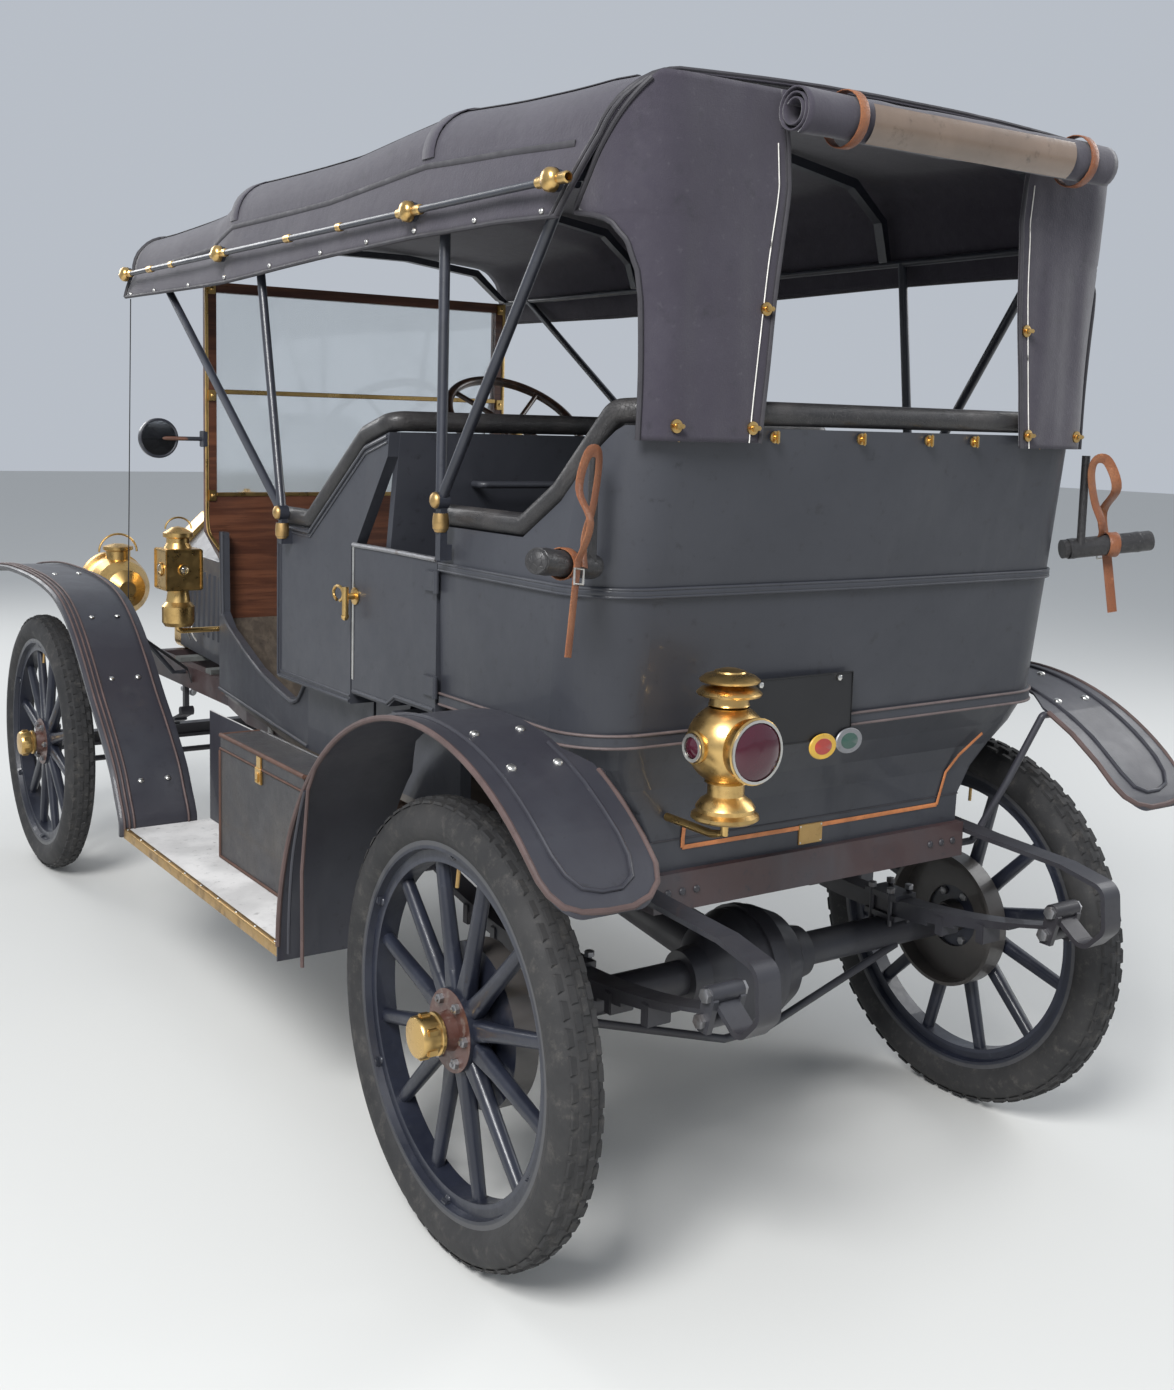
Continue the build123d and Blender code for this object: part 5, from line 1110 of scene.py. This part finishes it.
# Straps, rests and fittings of the top
def make_top_fittings():
    for name, side in SIDES:
        line = path((664, 2190, 1985), (645, 2270, 1660), (605, 2440, 940), (388, 2488, 778),
                (376, 2490, 734), side=side)
        web = piece(f"hold_down_strap_{name}", [strip(line, 0.024, 0.003, Vector((0.3, 1, 0.2)))],
                BLACK_STRAP)
        if side < 0:
            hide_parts("top_straps")
        couplings, knobs, ferrules = [], [], []
        for y in (2142, 1365, 299, -234):
            knobs.append(lathe(at(side * 700, y, 2055), (side, 0, 0), [(0, -12), (20.5, -12), (21.5, -6),
                    (20.5, 2), (15, 8), (7, 10.5), (0, 11)], 28))
            ferrules.append(lathe(at(side * 700, y, 2055), (side, 0, 0),
                                   [(15.5, -24), (19.5, -22), (19.5, -14), (21.5, -12.5)], 28))
            for dy in (-34, 34):
                couplings.append(lathe(at(side * 690, y + dy, 2055), (0, 1, 0),
                                        [(7.2, -14), (10.5, -12), (10.5, 12), (7.2, 14)], 16))
        for y0, y1 in ((1900, 1940), (1720, 1745), (900, 930), (620, 640)):
            couplings.append(turned(at(side * 690, y0, 2055), (0, 1, 0), [(0.0072, 0), (0.0095, 0.002),
                                    (0.0095, (y1 - y0) / 1000 - 0.002), (0.0072, (y1 - y0) / 1000)], 16))
        piece(f"top_knobs_{name}", knobs, BRASS)
        piece(f"top_ferrules_{name}", ferrules, IRON)
        piece(f"rod_couplings_{name}", couplings, BRASS)
        feet = []
        for y, z in ((200, 1481), (1012, 1407)):
            feet.append(dome(at(side * 676, y, z), (side, 0, 0), 0.017, 0.010))
            feet.append(lathe(at(side * 663, y, z - 42), (0, 0, -1), [(15, -17), (17, 0), (16.5, 14),
                    (12, 22), (0, 25)], 20))
        piece(f"iron_feet_{name}", feet, OLD_BRASS)
        start, end = at(side * 640, -308, 1393), at(side * 812, -398, 1415.5)
        along = (end - start).normalized()
        padding = [lathe(start, along, [(22.5, 0), (23.5, 12), (22.5, 18), (22.5, 150), (23.5, 162),
                (22.5, 168), (22.5, 190), (12, 196), (0, 197)], 24)]
        piece(f"rest_padding_{name}", padding, LEATHER)
        loop = []
        middle = start + along * 0.10
        upright = Vector((0, 0, 1))
        sideways = along.cross(upright).normalized()
        for k in range(21):
            a = 2 * pi * k / 20
            loop.append(middle + (upright * cos(a) + sideways * sin(a)) * 0.026)
        tail = [middle + sideways * -0.028 + upright * (0.01 - 0.012 * k) + along * 0.002 * k
                for k in range(15)]
        post = smooth_path([middle + sideways * -0.027 + upright * 0.004,
                middle + sideways * -0.050 + upright * 0.07, at(side * 712, -372, 1530),
                at(side * 690, -362, 1588), at(side * 662, -352, 1592), at(side * 656, -346, 1560),
                at(side * 668, -350, 1500), at(side * 690, -358, 1445),
                middle + sideways * -0.030 + upright * -0.004 - along * 0.02], 5)
        piece(f"rest_strap_{name}", [strip(loop, 0.024, 0.003, along), strip(tail, 0.022, 0.003, along),
                                     strip(post, 0.022, 0.003, along)], STRAP)
        buckle = middle + sideways * -0.030 + upright * -0.02
        square = [buckle + along * dx + upright * dz for dx, dz in ((-0.016, -0.013), (0.016, -0.013),
                (0.016, 0.013), (-0.016, 0.013), (-0.016, -0.013))]
        piece(f"rest_buckle_{name}", [tube(square, 0.0022, 8)], NICKEL)


# Dash, screen, wheel and bonnet
def make_front_fittings():
    edging = []
    for _, side in SIDES:
        line = path((461, 1943, 800), (461, 1943, 1000), (461, 1943, 1185), side=side)
        curve = smooth_path(path((461, 1943, 1185), (466, 1943, 1222), (490, 1943, 1256), (510, 1943, 1290),
                (515, 1943, 1340), side=side), 5)
        edging.append(strip(line + curve[1:], 0.010, 0.004, Vector((1, 0, 0))))
        edging.append(strip(path((515, 1943, 1340), (515, 1943, 1700), (515, 1943, 2034), side=side), 0.010,
                            0.004, Vector((1, 0, 0))))
    piece("dash_edging", edging, BRASS)
    hinges = []
    for _, side in SIDES:
        for z in (1400, 1700, 2015):
            hinges.append(bar(at(side * 500 - 12, 1936, z - 16), at(side * 500 + 12, 1944.5, z + 16)))
            hinges.append(dome(at(side * 500, 1937, z), (0, -1, 0), 0.006, 0.005))
    for z in (1403, 1712):
        hinges.append(bar(at(-486, 1940, z - 6), at(486, 1946, z + 6)))
    piece("screen_clips", hinges, BRASS)
    catch = []
    for _, side in SIDES:
        wire = smooth_path(path((352, 2500, 872), (366, 2512, 905), (356, 2531, 938), (366, 2550, 905),
                (352, 2562, 872), side=side), 6)
        catch.append(tube(wire, 0.003, 8))
    piece("bonnet_catches", catch, NICKEL)
    for name, side in SIDES:
        louvres = []
        for k in range(12):
            y = 2080 + 62 * k
            t = (y - 2012) / (2888 - 2012)
            half = 340 + (266 - 340) * t
            x = side * (half + 5)
            louvres.append(strip(path((x, y, 880), (x - side * 1.5, y, 1000), (x - side * 4, y, 1100)),
                    0.020, 0.007, Vector((0.3 * side, 1, 0))))
        piece(f"bonnet_louvres_{name}", louvres, PAINT, f"bonnet_{name}")
    fins = []
    for k in range(34):
        x = -209 + 418 * k / 33
        fins.append(bar(at(x - 1.2, 2976, 838), at(x + 1.2, 2990.5, 1162), 0))
    piece("radiator_fins", fins, CORE)
    back = bar(at(-214, 2974, 836), at(214, 2977, 1164), 0)
    piece("radiator_field", [back], CORE)
    cap = [lathe(at(0, 2940, 1341), (0, 0, 1), [(42, 0), (44, 2), (44, 12), (30, 18), (12, 22), (12, 30),
            (0, 32)], 28)]
    piece("radiator_cap", cap, BRASS)
    spokes = []
    centre = at(310, 1520, 1640)
    axis = (centre - at(310, 2190, 772)).normalized()
    spokes.append(lathe(centre, axis, [(0, -45), (30, -45), (35, -20), (35, 4), (26, 10), (0, 12)], 28))
    piece("steering_hub", spokes, BRASS, "steering_wheel")
    grips = []
    for x, z in ((602, 1400), (626, 1340)):
        grips.append(lathe(at(x, 1440, z - 70), (0, 0, 1), [(9, 0), (12, 10), (12.5, 80), (8, 86), (0, 88)],
                16))
    piece("lever_grips", grips, BRASS)


# Springs: clips, bolts and shackles
def make_spring_fittings():
    clips, bolts = [], []
    for _, side in SIDES:
        x = side * 460
        for y, z in ((-300, 545), (-180, 528), (260, 528), (380, 545)):
            clips.append(bar(at(x - 29, y - 11, z - 26), at(x + 29, y + 11, z + 20)))
        for y in (-30, 30):
            for dx in (-30, 30):
                clips.append(tube(path((x + dx, y, 480), (x + dx, y, 566)), 0.006, 8))
                bolts.append(nut(at(x + dx, y, 562), (0, 0, 1), 0.011, 0.010))
        for y, z in ((-481, 596), (-496, 648), (558, 612)):
            for end in (-1, 1):
                bolts.append(nut(at(x + end * 37, y, z), (end, 0, 0), 0.014, 0.009))
        x = side * 352
        for y in (2900, 3194):
            clips.append(bar(at(x - 26, y - 10, 497), at(x + 26, y + 10, 533)))
        for y in (3017, 3077):
            for dx in (-24, 24):
                clips.append(tube(path((x + dx, y, 470), (x + dx, y, 548)), 0.006, 8))
                bolts.append(nut(at(x + dx, y, 540), (0, 0, 1), 0.010, 0.009))
    piece("spring_clips", clips, CHASSIS_PAINT)
    piece("spring_bolts", bolts, STEEL)
    housing = []
    for k in range(10):
        a = 2 * pi * k / 10
        for end in (-1, 1):
            housing.append(nut(at(end * 40, 112 * sin(a), 457 + 112 * cos(a)), (end, 0, 0), 0.009, 0.012))
    piece("axle_bolts", housing, STEEL)
    flange = [lathe(at(0, 0, 457), (1, 0, 0), [(100, -12), (135, -10), (135, 10), (100, 12)], 40)]
    piece("axle_flange", flange, CHASSIS_PAINT)


def apply_modifiers(made):
    graph = bpy.context.evaluated_depsgraph_get()
    settled = bpy.data.meshes.new_from_object(made.evaluated_get(graph))
    made.modifiers.clear()
    made.data = settled


# Cushions: crowned pads swollen by cloth pressure, then pleated
PAD_VOXEL = 0.016
PLEAT_DEPTH = 0.010


def make_cushion(name, low, high, lean, pleat_axis, pleats, cap):
    """A pad between two corners: lean moves its top back, and cap limits how far a point swells."""
    made = piece(name, [bar(low, high, 0.030)], LEATHER)
    for vert in made.data.vertices:
        vert.co.y += lean * (vert.co.z - low.z)
    remesh = made.modifiers.new("remesh", "REMESH")
    remesh.mode = "VOXEL"
    remesh.voxel_size = PAD_VOXEL
    apply_modifiers(made)
    rest = [vert.co.copy() for vert in made.data.vertices]
    cloth = made.modifiers.new("cloth", "CLOTH")
    cloth.settings.use_pressure = True
    cloth.settings.uniform_pressure_force = 4
    cloth.settings.effector_weights.gravity = 0
    cloth.collision_settings.use_collision = False
    scene = bpy.context.scene
    for number in range(1, 16):
        scene.frame_set(number)
    apply_modifiers(made)
    scene.frame_set(1)
    for vert, start in zip(made.data.vertices, rest):
        move = vert.co - start
        if move.length > cap:
            vert.co = start + move.normalized() * cap
        vert.co.z = max(vert.co.z, low.z)
    size = high[pleat_axis] - low[pleat_axis]
    middle = (low + high) / 2
    for vert in made.data.vertices:
        part = (vert.co[pleat_axis] - low[pleat_axis]) / size
        groove = max(0.0, cos(2 * pi * part * pleats)) ** 6
        inward = middle - vert.co
        inward[pleat_axis] = 0
        if inward.length > 0:
            vert.co += inward.normalized() * PLEAT_DEPTH * groove
    made.data.shade_smooth()
    return made


def make_seats():
    front = make_cushion("front_cushion", at(-596, 712, 1004), at(596, 1066, 1158), 0, 0, 14, 0.016)
    make_cushion("front_squab", at(-536, 622, 1172), at(536, 690, 1560), -0.22, 0, 12, 0.014)
    make_cushion("rear_cushion", at(-575, -262, 1086), at(575, 190, 1234), 0, 0, 14, 0.016)
    make_cushion("rear_squab", at(-430, -262, 1252), at(430, -200, 1580), -0.20, 0, 10, 0.012)
    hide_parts("seats")


# Camera at the photograph's viewpoint
def photo_camera():
    yaw, pitch, roll = radians(34.17), radians(6.8), radians(1.48)
    forward = Vector((sin(yaw) * cos(pitch), cos(yaw) * cos(pitch), -sin(pitch)))
    level = forward.cross(Vector((0, 0, 1))).normalized()
    upright = level.cross(forward)
    right = cos(roll) * level + sin(roll) * upright
    up = right.cross(forward)
    camera = bpy.data.cameras.new("photo_camera")
    camera.sensor_width = 36
    camera.lens = 39.09
    camera.shift_y = -0.0635
    holder = bpy.data.objects.new("photo_camera", camera)
    bpy.context.scene.collection.objects.link(holder)
    holder.matrix_world = Matrix((
        (right.x, up.x, -forward.x, -2.12166),
        (right.y, up.y, -forward.y, REAR_AXLE_Y - 2.48104),
        (right.z, up.z, -forward.z, 1.63526),
        (0, 0, 0, 1)))
    bpy.context.scene.camera = holder


def studio():
    """Pale floor, pale world and three soft lamps."""
    mesh = bpy.data.meshes.new("floor_sheet")
    reach = 40
    mesh.from_pydata([(-reach, -reach, 0), (reach, -reach, 0), (reach, reach, 0), (-reach, reach, 0)], [],
                     [(0, 1, 2, 3)])
    floor = bpy.data.objects.new("floor_sheet", mesh)
    bpy.context.scene.collection.objects.link(floor)
    pale = Shader("pale_floor", (0.62, 0.62, 0.60), 0.9)
    mesh.materials.append(pale.material)
    world = bpy.data.worlds.new("studio")
    world.use_nodes = True
    world.node_tree.nodes["Background"].inputs["Color"].default_value = (0.80, 0.86, 0.95, 1)
    world.node_tree.nodes["Background"].inputs["Strength"].default_value = 0.60
    bpy.context.scene.world = world
    for name, place, aim, size, power in (
            ("key", (-5.5, -5.0, 6.5), (0, 0, 0.8), 3.0, 900),
            ("fill", (6.5, -2.0, 4.5), (0, 0, 1.0), 4.0, 220),
            ("front", (-2.0, 8.0, 5.0), (0, 0, 1.0), 4.0, 260)):
        lamp = bpy.data.lights.new(name, "AREA")
        lamp.size = size
        lamp.energy = power
        holder = bpy.data.objects.new(name, lamp)
        bpy.context.scene.collection.objects.link(holder)
        holder.location = place
        holder.rotation_euler = (Vector(aim) - Vector(place)).to_track_quat("-Z", "Y").to_euler()


make_soft_top()
for corner, side, y in CORNERS:
    make_tyre(corner, side, y)
    make_wheel_fittings(corner, side, y)
make_tub_trim()
make_body_sides()
make_rear_wing_trim()
make_front_wings()
make_boards()
make_tail_lamp()
make_front_lamps()
make_number_plate()
make_top_fittings()
make_front_fittings()
make_spring_fittings()
make_seats()
photo_camera()
studio()
bpy.context.scene.view_settings.view_transform = "Standard"
